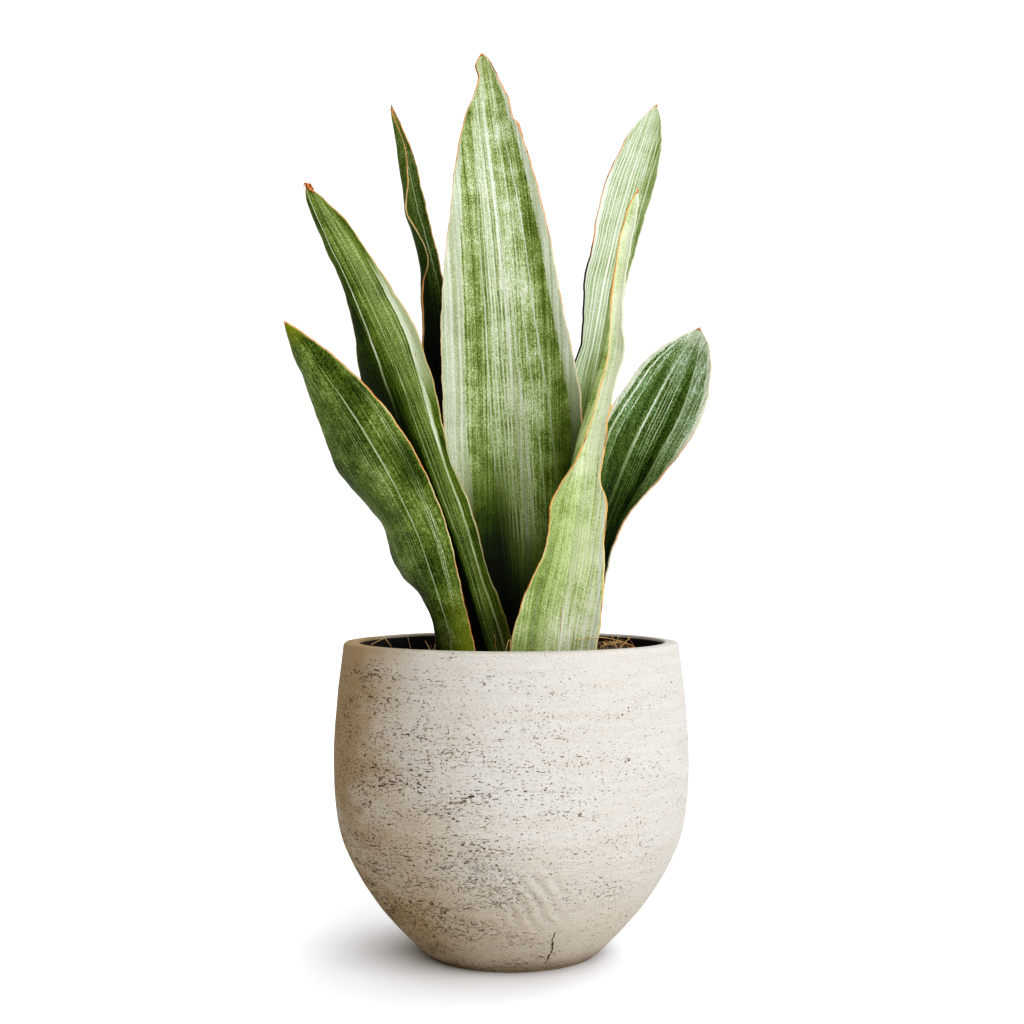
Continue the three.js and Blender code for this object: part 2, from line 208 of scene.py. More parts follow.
class Bench:
    """The node tree of one finish, and the few ways its nodes are made."""

    MIX_FACTOR = 0
    MIX_LOW = 6
    MIX_HIGH = 7
    MIX_RESULT = 2

    def __init__(self, name: str, shelf: Any = None) -> None:
        """Starts an empty material, or an empty world.

        Args:
            name: Its name.
            shelf: Where it is made, if it is no material.
        """
        self.owner = (bpy.data.materials if shelf is None else shelf).new(name)
        self.owner.use_nodes = True
        self.tree = self.owner.node_tree
        self.tree.nodes.clear()

    def make(
        self, kind: str, settings: dict[str, Any] | None = None, sockets: dict[Any, Any] | None = None
    ) -> bpy.types.Node:
        """Makes a node.

        Args:
            kind: The node's type.
            settings: What is set on the node itself, such as an operation, or a ramp's stops.
            sockets: A value or a link for each input socket, by name or number.

        Returns:
            The node.
        """
        node = self.tree.nodes.new(kind)
        for name, value in (settings or {}).items():
            if name == "stops":
                self._set_stops(node.color_ramp, value)
            else:
                setattr(node, name, value)
        for name, value in (sockets or {}).items():
            if isinstance(value, Signal):
                self.tree.links.new(value.socket, node.inputs[name])
            elif isinstance(value, bpy.types.NodeSocket):
                self.tree.links.new(value, node.inputs[name])
            else:
                node.inputs[name].default_value = value
        return node

    @staticmethod
    def _set_stops(ramp: bpy.types.ColorRamp, stops: Stops) -> None:
        """Gives a ramp its stops.

        Args:
            ramp: The node's ramp.
            stops: A place from 0 to 1 and a colour for each.
        """
        while len(ramp.elements) < len(stops):
            ramp.elements.new(1.0)
        for element, (place, colour) in zip(ramp.elements, stops):
            element.position = place
            element.color = colour

    def maths(self, operation: str, *values: Signal | float) -> Signal:
        """A Math node on numbers or signals.

        Args:
            operation: The node's operation.
            values: What goes in, in order.

        Returns:
            The result.
        """
        node = self.make("ShaderNodeMath", {"operation": operation}, dict(enumerate(values)))
        return Signal(self, node.outputs[0])

    def place(self) -> bpy.types.NodeSocket:
        """The point on the piece, in metres."""
        return self.make("ShaderNodeTexCoord").outputs["Object"]

    def axes(self, vector: bpy.types.NodeSocket) -> tuple[Signal, Signal, Signal]:
        """The three parts of a vector."""
        node = self.make("ShaderNodeSeparateXYZ", sockets={0: vector})
        return tuple(Signal(self, socket) for socket in node.outputs)

    def reading(self, name: str) -> Signal:
        """A number kept on each point of the piece."""
        node = self.make("ShaderNodeAttribute", {"attribute_name": name})
        return Signal(self, node.outputs["Fac"])

    def grain_place(self, name: str) -> bpy.types.NodeSocket:
        """A vector kept on each point of the piece."""
        return self.make("ShaderNodeAttribute", {"attribute_name": name}).outputs["Vector"]

    def speckle(self, vector: bpy.types.NodeSocket, grain: Grain, shift: float = 0.0) -> Signal:
        """Cloudy noise.

        Args:
            vector: Where the noise is read.
            grain: What the noise is like.
            shift: Moves it further than the grain's own shift.

        Returns:
            The noise, from 0 to 1.
        """
        away = grain.shift + shift
        sockets = {"Vector": vector, "Scale": grain.stretch, "Location": (away, 1.7 * away, -away)}
        moved = self.make("ShaderNodeMapping", sockets=sockets).outputs[0]
        sockets = {"Vector": moved, "Scale": 1.0, "Detail": grain.detail, "Roughness": grain.rough}
        return Signal(self, self.make("ShaderNodeTexNoise", sockets=sockets).outputs[0])

    def mix(self, factor: Signal, low: Any, high: Any) -> bpy.types.NodeSocket:
        """A colour between two.

        Args:
            factor: How far it turns from low to high, 0 to 1.
            low: The first colour.
            high: The second colour.

        Returns:
            The mixed colour.
        """
        settings = {"data_type": "RGBA", "clamp_factor": True}
        sockets = {self.MIX_FACTOR: factor, self.MIX_LOW: low, self.MIX_HIGH: high}
        return self.make("ShaderNodeMix", settings, sockets).outputs[self.MIX_RESULT]

    def ramp(self, factor: Signal, stops: Stops) -> bpy.types.NodeSocket:
        """A colour read from a row of stops."""
        return self.make("ShaderNodeValToRGB", {"stops": stops}, {"Fac": factor}).outputs["Color"]

    def surface(
        self,
        colour: Any,
        roughness: Signal | float,
        relief: Signal | None = None,
        depth: float = 0.0,
        extra: dict[str, Any] | None = None,
    ) -> bpy.types.Material:
        """Ends the material with its surface.

        Args:
            colour: The base colour.
            roughness: How matt it is.
            relief: Fine height over the surface, 0 to 1.
            depth: How deep a relief of 1 is, in metres.
            extra: Constant values for other sockets of the surface.

        Returns:
            The material.
        """
        sockets = {"Base Color": colour, "Roughness": roughness, **(extra or {})}
        if relief is not None:
            bump = {"Strength": 1.0, "Distance": depth, "Height": relief}
            sockets["Normal"] = self.make("ShaderNodeBump", sockets=bump).outputs["Normal"]
        shader = self.make("ShaderNodeBsdfPrincipled", sockets=sockets)
        self.make("ShaderNodeOutputMaterial", sockets={"Surface": shader.outputs[0]})
        return self.owner


def strongest(signals: Iterable[Signal]) -> Signal:
    """The largest of some signals at each point."""
    return reduce(Signal.most, signals)


def oval(across: Signal, along: Signal, middle: Span, half: Span) -> Signal:
    """How far out a point lies in an oval.

    Args:
        across: The point's first place.
        along: Its second place.
        middle: The oval's middle.
        half: Half the oval's size, each way.

    Returns:
        0 in the middle, 1 on the rim, and more outside.
    """
    wide = (across - middle[0]) * (1 / half[0])
    high = (along - middle[1]) * (1 / half[1])
    return wide * wide + high * high


@dataclass(frozen=True)
class TwoTone:
    """A plain finish: one colour that turns to another in patches, over a fine relief.

    turns are the levels of the patch noise between which high takes over from low, share how far
    it does, and rough_gain how much more matt the patches are. Without fine, the patches are the
    relief too.
    """

    name: str
    low: Colour
    high: Colour
    patch: Grain
    turns: Span
    share: float = 1.0
    fine: Grain | None = None
    roughness: float = 0.7
    rough_gain: float = 0.0
    depth: float = 0.0001

    def material(self) -> bpy.types.Material:
        """Lays the patches over the first colour.

        Returns:
            The material.
        """
        bench = Bench(self.name)
        place = bench.place()
        patch = bench.speckle(place, self.patch)
        relief = patch if self.fine is None else bench.speckle(place, self.fine)
        rough = patch * self.rough_gain + self.roughness if self.rough_gain else self.roughness
        colour = bench.mix(patch.rise(*self.turns) * self.share, self.low, self.high)
        return bench.surface(colour, rough, relief, self.depth)


DARK_COATING = TwoTone(
    "dark_coating", paint(24, 21, 19), paint(62, 54, 46), Grain((70, 70, 90), 4), (0.5, 0.8), 0.6,
    Grain((900, 900, 900), 2, 4.0), 0.55, 0.3, 0.0003,
)
COIR = TwoTone(
    "coir", paint(224, 190, 132), paint(162, 104, 52), Grain((140, 140, 140)), (0.44, 0.68),
    fine=Grain((2500, 2500, 2500), 1, 3.0), depth=0.00005,
)


@dataclass(frozen=True)
class Gash:
    """An open line in the clay: half its width, and its points, each right of the axis and up."""

    half: float
    points: Rows


@dataclass(frozen=True)
class Cluster:
    """A patch of the front: its middle right of the axis and up, half its size, its strength."""

    right: float
    height: float
    half_width: float
    half_height: float
    strength: float


@dataclass(frozen=True)
class FibreClay:
    """Warm off-white clay with fibres, open in short dark pits that lie along its layers.

    Pits crowd in clusters and are fewer in the calm patches; gashes are open lines. All of these
    and the trowel's streaks lie on the front only. A span that ends in _at gives the levels of a
    noise between which its marks come in.
    """

    radius: float
    height: float
    cream: Colour = paint(197, 194, 189)
    greige: Colour = paint(186, 177, 162)
    tan: Colour = paint(158, 138, 106)
    umber: Colour = paint(128, 106, 78)
    pit: Colour = paint(42, 29, 18)
    shallow: Colour = paint(120, 92, 62)
    rim_band: float = 0.016
    rim_smooth: float = 0.004
    relief_depth: float = 0.0013
    front_edge: float = -0.01
    pit_at: Span = (0.668, 0.705)
    dash_at: Span = (0.70, 0.725)
    speck_at: Span = (0.655, 0.70)
    halo_at: Span = (0.59, 0.69)
    trowel_middle: Span = (0.010, 0.047)
    trowel_slant: Span = (0.86, 0.5)
    trowel_turns: float = 860.0
    trowel_waver: float = 16.0
    gashes: tuple[Gash, ...] = (
        Gash(
            0.00022,
            ((0.0226, 0.0268), (0.0212, 0.0222), (0.0214, 0.0180), (0.0208, 0.0133), (0.0183, 0.0063)),
        ),
        Gash(0.00010, ((-0.0148, 0.0499), (-0.0088, 0.0462), (-0.0016, 0.0412))),
    )
    clusters: tuple[Cluster, ...] = (
        Cluster(-0.050, 0.1575, 0.024, 0.0035, 0.05), Cluster(-0.050, 0.1475, 0.026, 0.0030, 0.07),
        Cluster(-0.084, 0.1430, 0.007, 0.0030, 0.16), Cluster(-0.042, 0.1225, 0.026, 0.0060, 0.08),
        Cluster(-0.006, 0.1175, 0.012, 0.0030, 0.10), Cluster(-0.016, 0.1010, 0.014, 0.0040, 0.32),
        Cluster(-0.040, 0.0935, 0.013, 0.0045, 0.24), Cluster(0.024, 0.0920, 0.013, 0.0035, 0.26),
        Cluster(0.039, 0.1120, 0.007, 0.0030, 0.22), Cluster(0.054, 0.1200, 0.010, 0.0060, 0.13),
        Cluster(0.055, 0.1405, 0.014, 0.0030, 0.12), Cluster(0.069, 0.1007, 0.006, 0.0040, 0.16),
        Cluster(-0.012, 0.0750, 0.011, 0.0050, 0.22), Cluster(0.051, 0.0525, 0.007, 0.0025, 0.28),
        Cluster(0.063, 0.0505, 0.008, 0.0035, 0.26), Cluster(0.066, 0.0820, 0.007, 0.0070, 0.18),
        Cluster(-0.062, 0.1080, 0.020, 0.0100, 0.07), Cluster(-0.030, 0.0640, 0.030, 0.0150, 0.04),
    )
    calm: tuple[Cluster, ...] = (
        Cluster(0.022, 0.1500, 0.040, 0.0240, 0.035),
        Cluster(-0.040, 0.1520, 0.034, 0.0120, 0.034),
    )
    CLOUD = Grain((15, 15, 24), 3)
    STRATA = Grain((14, 14, 210), 4, 3.0, 0.6)
    FINE = Grain((1000, 1000, 1500), 2, 5.0)
    THRONG = Grain((26, 26, 90), 3, 9.0)
    CURL = Grain((150, 150, 210), 2, 29.0, 0.6)
    PITS = Grain((330, 330, 940), 2, 11.0, 0.62)
    DASHES = Grain((130, 130, 1150), 2, 17.0, 0.6)
    SPECKS = Grain((620, 620, 1200), 1, 23.0)
    DEPTHS = Grain((210, 210, 260), 2, 37.0)

    def _open(self, x: Signal, z: Signal) -> Signal:
        """The named open lines.

        Args:
            x: Place to the right of the axis.
            z: Height above the floor.

        Returns:
            1 inside a line, 0 away from all of them.
        """
        near = []
        for gash in self.gashes:
            for (x0, z0), (x1, z1) in zip(gash.points, gash.points[1:]):
                run, rise = x1 - x0, z1 - z0
                length = run * run + rise * rise
                share = ((x - x0) * (run / length) + (z - z0) * (rise / length)).share()
                across = (x - x0) - share * run
                along = (z - z0) - share * rise
                apart = (across * across + along * along).root()
                near.append(apart.fall(gash.half * 0.6, gash.half * 1.7))
        return strongest(near)

    def _crowds(self, patches: Iterable[Cluster], x: Signal, z: Signal) -> Signal:
        """How strongly some patches act at a point.

        Args:
            patches: The patches.
            x: Place to the right of the axis.
            z: Height above the floor.

        Returns:
            The strength of the one that is strongest there.
        """
        return strongest(
            oval(x, z, (p.right, p.height), (p.half_width, p.half_height)).fall(0.1, 1.3) * p.strength
            for p in patches
        )

    def _trowel(self, x: Signal, z: Signal, cloud: Signal) -> Signal:
        """Slanting trowel streaks low on the wall.

        Args:
            x: Place to the right of the axis.
            z: Height above the floor.
            cloud: Broad noise that bends them.

        Returns:
            The streaks, -1 to 1.
        """
        slant_x, slant_z = self.trowel_slant
        right, height = self.trowel_middle
        along = (x * slant_x + z * slant_z) * self.trowel_turns
        wave = (along + (cloud - 0.5) * self.trowel_waver).sine()
        return wave * (x - right).size().fall(0.006, 0.026) * (z - height).size().fall(0.008, 0.024)

    def _body(self, bench: Bench, x: Signal, z: Signal, cloud: Signal, tone: Signal) -> Any:
        """The clay's colour, with painted shade: greige and tan to the left and low down, in patches.

        Args:
            bench: Where the nodes are made.
            x: Place to the right of the axis.
            z: Height above the floor.
            cloud: Broad noise that makes the painted shade patchy.
            tone: How far the cream turns to greige.

        Returns:
            The colour under the stains and pits.
        """
        # Painted shade: the clay turns to greige and tan towards its left side and towards its foot.
        left = (x * (-1 / self.radius)).rise(0.02, 1.1)
        low = z * (1 / self.height)
        body = bench.mix(tone + left * 0.35 + low.fall(0.05, 0.62) * 0.65, self.cream, self.greige)
        patchy = cloud.rise(0.38, 0.62) * 0.6 + 0.4
        painted_low_left_shade = low.fall(0.1, 0.5) * x.fall(-0.04, 0.045) * 0.5
        return bench.mix(left * patchy * 1.2 + painted_low_left_shade, body, self.tan)

    def material(self) -> bpy.types.Material:
        """Lays the clay's tones, stains, pits and relief over one another.

        Returns:
            The outside of the planter.
        """
        bench = Bench("fibre_clay")
        place = bench.place()
        x, y, z = bench.axes(place)
        front = y.fall(self.front_edge, 0.0)
        cloud, strata, grain = (bench.speckle(place, g) for g in (self.CLOUD, self.STRATA, self.FINE))
        throng, curl = bench.speckle(place, self.THRONG), bench.speckle(place, self.CURL)
        low = (z * (1 / self.height)).fall(0.05, 0.62)
        curled = curl - 0.5
        crowds = self._crowds(self.clusters, x + (cloud - 0.5) * 0.012, z + curled * 0.004) * front
        calm = self._crowds(self.calm, x, z) * front
        lean = (x * -0.7).most(-0.045).least(0.052) + low * 0.012 - calm
        crowding = (throng - 0.5) * 0.24 + lean + crowds * 0.18 - 0.013
        rim = z.fall(self.height - self.rim_band, self.height - self.rim_smooth) * 0.09 + 0.91
        pits, dashes = ((bench.speckle(place, g) + crowding) * rim for g in (self.PITS, self.DASHES))
        specks = (bench.speckle(place, self.SPECKS) + crowding * 0.7) * rim
        speck = specks.rise(*self.speck_at)
        scratch_zone = low.rise(0.1, 0.7) * x.fall(-0.02, 0.03) * throng.rise(0.36, 0.56)
        scratch = curled.size().fall(0.004, 0.018) * scratch_zone * 0.9
        crack = self._open(x + curled * 0.004, z + curled * 0.003) * front
        streak = self._trowel(x, z, cloud) * front
        hollow = pits.rise(*self.pit_at).most(dashes.rise(*self.dash_at) * 0.8)
        mark = hollow.most(scratch).most(crack)
        deep = bench.speckle(place, self.DEPTHS).rise(0.42, 0.60).most(crack)
        tone = (cloud - 0.5) * 0.5 + (strata - 0.5) * 1.0 + streak * 0.28 + 0.10
        shaded_clay = self._body(bench, x, z, cloud, tone)
        # foot turns the bottom 12 mm of the wall towards umber, in patches.
        foot = z.fall(0.0005, 0.012) * cloud.rise(0.3, 0.6) * 0.7
        umbered = foot.most(pits.rise(*self.halo_at) * 0.40).most(speck * 0.95)
        grained = bench.mix(grain.rise(0.50, 0.78) * 0.35, bench.mix(umbered, shaded_clay, self.umber), self.tan)
        pitted = bench.mix(mark * 0.95, grained, bench.mix(deep, self.shallow, self.pit))
        relief = (
            0.6 - mark * 0.5 - speck * 0.2
            + (grain - 0.5) * 0.5 + (strata - 0.5) * 0.9 + curled * 0.55 + streak * 0.26
        )
        return bench.surface(
            pitted, 0.82 + grain * 0.12, relief, self.relief_depth, {"Specular IOR Level": 0.25}
        )


@dataclass(frozen=True)
class Peat:
    """Dark crumbly potting soil."""

    name: str
    dark: Colour = paint(22, 16, 12)
    brown: Colour = paint(64, 44, 30)
    golden: Colour = paint(126, 88, 50)
    golden_share: float = 0.12

    def material(self) -> bpy.types.Material:
        """Mixes dark and brown clods and adds golden flecks.

        Returns:
            The soil's surface.
        """
        bench = Bench(self.name)
        place = bench.place()
        clods = bench.speckle(place, Grain((160, 160, 160), 4))
        crumbs = bench.speckle(place, Grain((900, 900, 900), 3, 2.0))
        flecks = bench.speckle(place, Grain((420, 420, 420), 2, 6.0))
        colour = bench.mix(clods * 0.5 + crumbs * 0.5, self.dark, self.brown)
        fleck = flecks.rise(0.72 - self.golden_share, 0.80 - self.golden_share)
        flecked = bench.mix(fleck, colour, self.golden)
        return bench.surface(flecked, 0.95, crumbs * 0.7 + clods * 0.3, 0.0012)


@dataclass(frozen=True)
class RootSkin:
    """The fleshy, ringed skin of the buried rhizome."""

    pale: Colour = paint(206, 168, 116)
    brown: Colour = paint(128, 78, 40)

    def material(self) -> bpy.types.Material:
        """Rings the pale skin with brown.

        Returns:
            The rhizome's surface.
        """
        bench = Bench("root_skin")
        place = bench.place()
        rings = bench.speckle(place, Grain((60, 60, 520)))
        patch = bench.speckle(place, Grain((90, 90, 90), 3, 4.0))
        colour = bench.mix(rings.rise(0.45, 0.7) * 0.7 + patch * 0.3, self.pale, self.brown)
        return bench.surface(colour, 0.7, rings, 0.0005)


@dataclass(frozen=True)
class Sweep:
    """The studio's plain white floor."""

    white: Colour = (0.915, 0.93, 0.955, 1.0)

    def material(self) -> bpy.types.Material:
        """The floor's surface."""
        bench = Bench("white_floor")
        tone = bench.speckle(bench.place(), Grain((3, 3, 3)))
        return bench.surface(self.white, 0.85 + tone * 0.1, extra={"Specular IOR Level": 0.1})


@dataclass(frozen=True)
class Stripe:
    """A pale line or band that runs the length of a blade.

    at is its lane, from -1 at the left margin through 0 at the main line to 1 at the right margin.
    half is half its width in lanes, paleness its strength, and low and high the share of the
    blade's rise where it shows. soft is the share of half over which its sides fade, broken how
    much it comes and goes with the blotches, and fade the share of the rise over which it ends.
    """

    at: float
    half: float
    paleness: float
    low: float = -0.2
    high: float = 1.2
    soft: float = 0.5
    broken: float = 0.0
    fade: float = 0.08

    def mask(self, lane: Signal, rise: Signal, patch: Signal) -> Signal:
        """Where the stripe lies.

        Args:
            lane: Where the point lies across the blade.
            rise: Its share of the way from root to tip.
            patch: The blade's cloudy noise.

        Returns:
            0 off the stripe, and up to its paleness on it.
        """
        mask = (lane - self.at).size().fall(self.half * (1 - self.soft), self.half) * self.paleness
        if self.low > 0:
            mask = mask * rise.rise(self.low - self.fade, self.low + self.fade)
        if self.high < 1:
            mask = mask * rise.fall(self.high - self.fade, self.high + self.fade)
        if self.broken > 0:
            mask = mask * (patch.rise(0.38, 0.6) * self.broken + (1 - self.broken))
        return mask


@dataclass(frozen=True)
class Scar:
    """A small brown mark: its lane, its rise, half its width in lanes and half its length in rise."""

    lane: float
    rise: float
    wide: float
    long: float


@dataclass(frozen=True)
class LeafSkin:
    """Green skin mottled across, with pale lines along the blade and a hard coloured margin.

    tone is how light it is between the lines, lines, grain and blotch the strength of its fine
    lines, its grain and its cloudy patches. shades are broad soft stripes of painted shade and
    shadow that darken it, a few of them darker blotches; one of negative strength is a painted
    highlight. tint turns all its greens, silver is how light its pale lines are, glow how much they
    lighten the green beside them. underside is painted shade on the back face, how much darker it
    is, and back_light the least lightness that the painted shade leaves the back face. rust_left and
    rust_right say how much of each margin is orange rather than cream. bare is where the margin has
    no coloured line, and burnt where its line is broad and near black.
    """

    name: str
    tone: float
    stripes: tuple[Stripe, ...]
    painted_shading: tuple[Stripe, ...] = ()
    tint: Point = (1.0, 1.0, 1.0)
    silver: float = 0.95
    glow: float = 0.7
    back_face_shade: float = 0.0
    back_light: float = 0.5
    lines: float = 0.12
    grain: float = 0.40
    blotch: float = 0.4
    margin: float = 0.00036
    halo: float = 0.4
    rust_left: float = 0.6
    rust_right: float = 0.6
    tip: float = 0.0022
    yellow: float = 0.0
    scars: tuple[Scar, ...] = ()
    shift: float = 0.0
    greens: Stops = (
        (0.0, paint(9, 12, 3)), (0.15, paint(34, 50, 12)), (0.30, paint(71, 88, 22)),
        (0.45, paint(99, 114, 50)), (0.60, paint(128, 144, 84)), (0.75, paint(164, 178, 128)),
        (0.88, paint(190, 198, 168)), (1.0, paint(205, 209, 194)),
    )
    silvers: Stops = (
        (0.0, paint(7, 9, 4)), (0.5, paint(86, 97, 58)), (0.8, paint(154, 162, 132)),
        (1.0, paint(211, 215, 203)),
    )
    bare: Stripe | None = None
    burnt: Stripe | None = None
    orange: Colour = paint(204, 134, 70)
    brown: Colour = paint(134, 80, 42)
    cream: Colour = paint(212, 198, 154)
    margin_black: Colour = paint(14, 8, 4)
    lime: Colour = paint(118, 124, 16)
    rust: Colour = paint(150, 96, 50)
    DRIFT = Grain((60, 12, 9))
    STREAK = Grain((900, 5, 7), 3, 2.0, 0.6)
    FIBRE = Grain((1300, 90, 30), 2, 3.0, 0.6)
    FLECK = Grain((1700, 1150, 30), 1, 4.0, 0.75)
    PATCH = Grain((52, 62, 9), 3, 6.0, 0.6)
    WAVER = Grain((1, 95, 3), 2, 10.0)
    STRETCH = Grain((1, 26, 3), 2, 12.0)

    def _painted_light(self, lane: Signal, rise: Signal, patch: Signal, back: Signal) -> Signal | float:
        """Darkens the skin where its painted shade lies, and lightens it under a painted highlight.

        Args:
            lane: Where the point lies across the blade.
            rise: Its share of the way from root to tip.
            patch: The blade's cloudy noise.
            back: 1 on the back face, 0 on the front.

        Returns:
            How much of its lightness the skin keeps under the painted shade, 1 where none lies.
        """
        kept: Signal | float = 1.0
        for shade in self.painted_shading:
            kept = (1 - shade.mask(lane, rise, patch)) * kept
        if self.back_face_shade > 0:
            return kept * (1 - back * self.back_face_shade)
        return kept.most(back * self.back_light) if self.painted_shading else kept

    def _marks(self, lane: Signal, rise: Signal, rough: Signal) -> Signal:
        """The small brown marks, strongest at their middle."""
        near = (oval(lane, rise, (s.lane, s.rise), (s.wide, s.long)) for s in self.scars)
        return strongest((far + rough * 2).fall(0.3, 1.1) for far in near) * 0.8

    def _margin(self, bench: Bench, colour: Any, lane: Signal, rise: Signal, grain: Any) -> Any:
        """The hard margin: a cream line, turning orange and brown in places.

        Args:
            bench: Where the nodes are made.
            colour: The colour inside the margin.
            lane: Where the point lies across the blade.
            rise: Its share of the way from root to tip.
            grain: The blade's own place, in metres.

        Returns:
            The colour with its margin.
        """
        edge = bench.reading("edge")
        if self.bare is not None:
            edge = edge + self.bare.mask(lane, rise, lane)
        waver = bench.speckle(grain, self.WAVER, self.shift)
        stretch = bench.speckle(grain, self.STRETCH, self.shift)
        right = lane.rise(-0.05, 0.05)
        share = right * (self.rust_right - self.rust_left) + self.rust_left
        rusty = (stretch + share * 0.5).rise(0.60, 0.80)
        hue = bench.mix(waver.rise(0.50, 0.66), self.orange, self.brown)
        tinted = bench.mix(rusty, self.cream, hue)
        rim = waver * self.margin + self.margin * 0.6
        # Where the burnt stripe lies, the margin line is broader and near black.
        if self.burnt is not None:
            darkened_margin = self.burnt.mask(lane, rise, lane)
            rim = rim * (darkened_margin * 1.2 + 1)
            tinted = bench.mix(darkened_margin, tinted, self.margin_black)
        colour = bench.mix(edge.fall(rim * 1.3, rim * 3.2) * self.halo, colour, self.cream)
        return bench.mix(edge.fall(rim * 0.7, rim * 1.4) * 0.95, colour, tinted)

    def material(self) -> bpy.types.Material:
        """Lays the greens, the pale lines, the margin and the dry tip.

        Returns:
            The blade's surface, on both faces.
        """
        bench = Bench(self.name)
        grain = bench.grain_place("grain")
        rise = bench.reading("rise")
        kinds = (self.DRIFT, self.STREAK, self.FIBRE, self.FLECK, self.PATCH)
        drift, streak, fibre, fleck, patch = (bench.speckle(grain, k, self.shift) for k in kinds)
        flecked = fleck - 0.5
        lane = bench.reading("lane") + (drift - 0.5) * 0.030 + (fibre - 0.5) * 0.010
        ragged = streak.rise(0.34, 0.56) * 0.25 + 0.78
        pale = (strongest(s.mask(lane, rise, patch) for s in self.stripes) * ragged).least(1.0)
        rough = (fibre - 0.5) * (self.grain * 0.5) + flecked * (self.grain * 2.3)
        lines = (streak - 0.5) * (self.lines * 2.5)
        green = (patch - 0.5) * self.blotch + lines + self.tone
        # The skin's painted shade and highlight: the share of its lightness it keeps at each point.
        light = self._painted_light(lane, rise, patch, bench.axes(grain)[2])
        level = (green + (1 - green) * (pale * self.glow) + rough).share() * light
        silver = bench.ramp((1 + rough * 0.3 + lines * 0.5) * light * self.silver, self.silvers)
        greens = [(at, (*(c * t for c, t in zip(colour, self.tint)), 1.0)) for at, colour in self.greens]
        colour = bench.mix(pale.rise(0.18, 0.85), bench.ramp(level, greens), silver)
        if self.yellow > 0:
            blush = rise.fall(0.12, 0.36) * lane.rise(0.1, 0.6) + rise.rise(0.93, 0.99)
            colour = bench.mix(blush * self.yellow, colour, self.lime)
        colour = self._margin(bench, colour, lane, rise, grain)
        if self.scars:
            colour = bench.mix(self._marks(lane, rise, flecked), colour, self.rust)
        tip = bench.reading("tip_distance").fall(self.tip * 0.4, self.tip)
        colour = bench.mix(tip, colour, self.rust)
        relief = 0.5 + (streak - 0.5) * 0.8 + flecked * 0.4
        roughness = 0.46 + flecked * 0.2 + pale * 0.06
        return bench.surface(colour, roughness, relief, 0.0002, {"Specular IOR Level": 0.1})


def deselect() -> None:
    """Leaves nothing selected in object mode."""
    if bpy.context.object and bpy.context.object.mode != "OBJECT":
        bpy.ops.object.mode_set(mode="OBJECT")
    bpy.ops.object.select_all(action="DESELECT")


def claim(piece: bpy.types.Object, name: str, nodes: Iterable[str] = ()) -> None:
    """Names a finished piece, and ties it to the frame.

    Args:
        piece: The piece, at the origin.
        name: Its name.
        nodes: The frame's nodes that it stands for.
    """
    piece.name = name
    piece.data.name = name
    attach(piece, BODY)
    if nodes:
        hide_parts(*nodes)
    LOG.info("%s: %d faces", name, len(piece.data.polygons))


def keep(mesh: bpy.types.Mesh, name: str, values: np.ndarray) -> None:
    """Keeps a number or a vector on each point of a mesh.

    Args:
        mesh: The mesh.
        name: The attribute's name.
        values: One number, or three, for each point.
    """
    if values.ndim == 1:
        mesh.attributes.new(name, "FLOAT", "POINT").data.foreach_set("value", values)
    else:
        mesh.attributes.new(name, "FLOAT_VECTOR", "POINT").data.foreach_set("vector", values.ravel())


def face_outwards() -> None:
    """Turns all faces outwards and ends the edit."""
    bpy.ops.mesh.select_all(action="SELECT")
    bpy.ops.mesh.normals_make_consistent(inside=False)
    bpy.ops.object.mode_set(mode="OBJECT")


def start_disc(sides: int, radius: float, height: float) -> bpy.types.Object:
    """Starts a turned piece as a level disc, all of it selected in edit mode.

    Args:
        sides: How many sides it has.
        radius: Its radius.
        height: Its height above the floor.

    Returns:
        The disc.
    """
    deselect()
    bpy.ops.mesh.primitive_circle_add(
        vertices=sides, radius=radius, location=(0, 0, height), fill_type="NGON"
    )
    bpy.ops.object.transform_apply(location=True, rotation=True, scale=True)
    bpy.ops.object.mode_set(mode="EDIT")
    bpy.ops.mesh.select_all(action="SELECT")
    return bpy.context.object


def draw_rings(line: Sequence[Sequence[float]], extrude: Callable[..., Any]) -> None:
    """Draws what is selected along a line, ring by ring.

    Args:
        line: Radius and height of each ring, from the one that is selected.
        extrude: The operator that draws a new ring out of the last.
    """
    for before, after in zip(line, line[1:]):
        extrude(TRANSFORM_OT_translate={"value": (0, 0, after[1] - before[1])})
        grow = after[0] / before[0]
        bpy.ops.transform.resize(value=(grow, grow, 1))


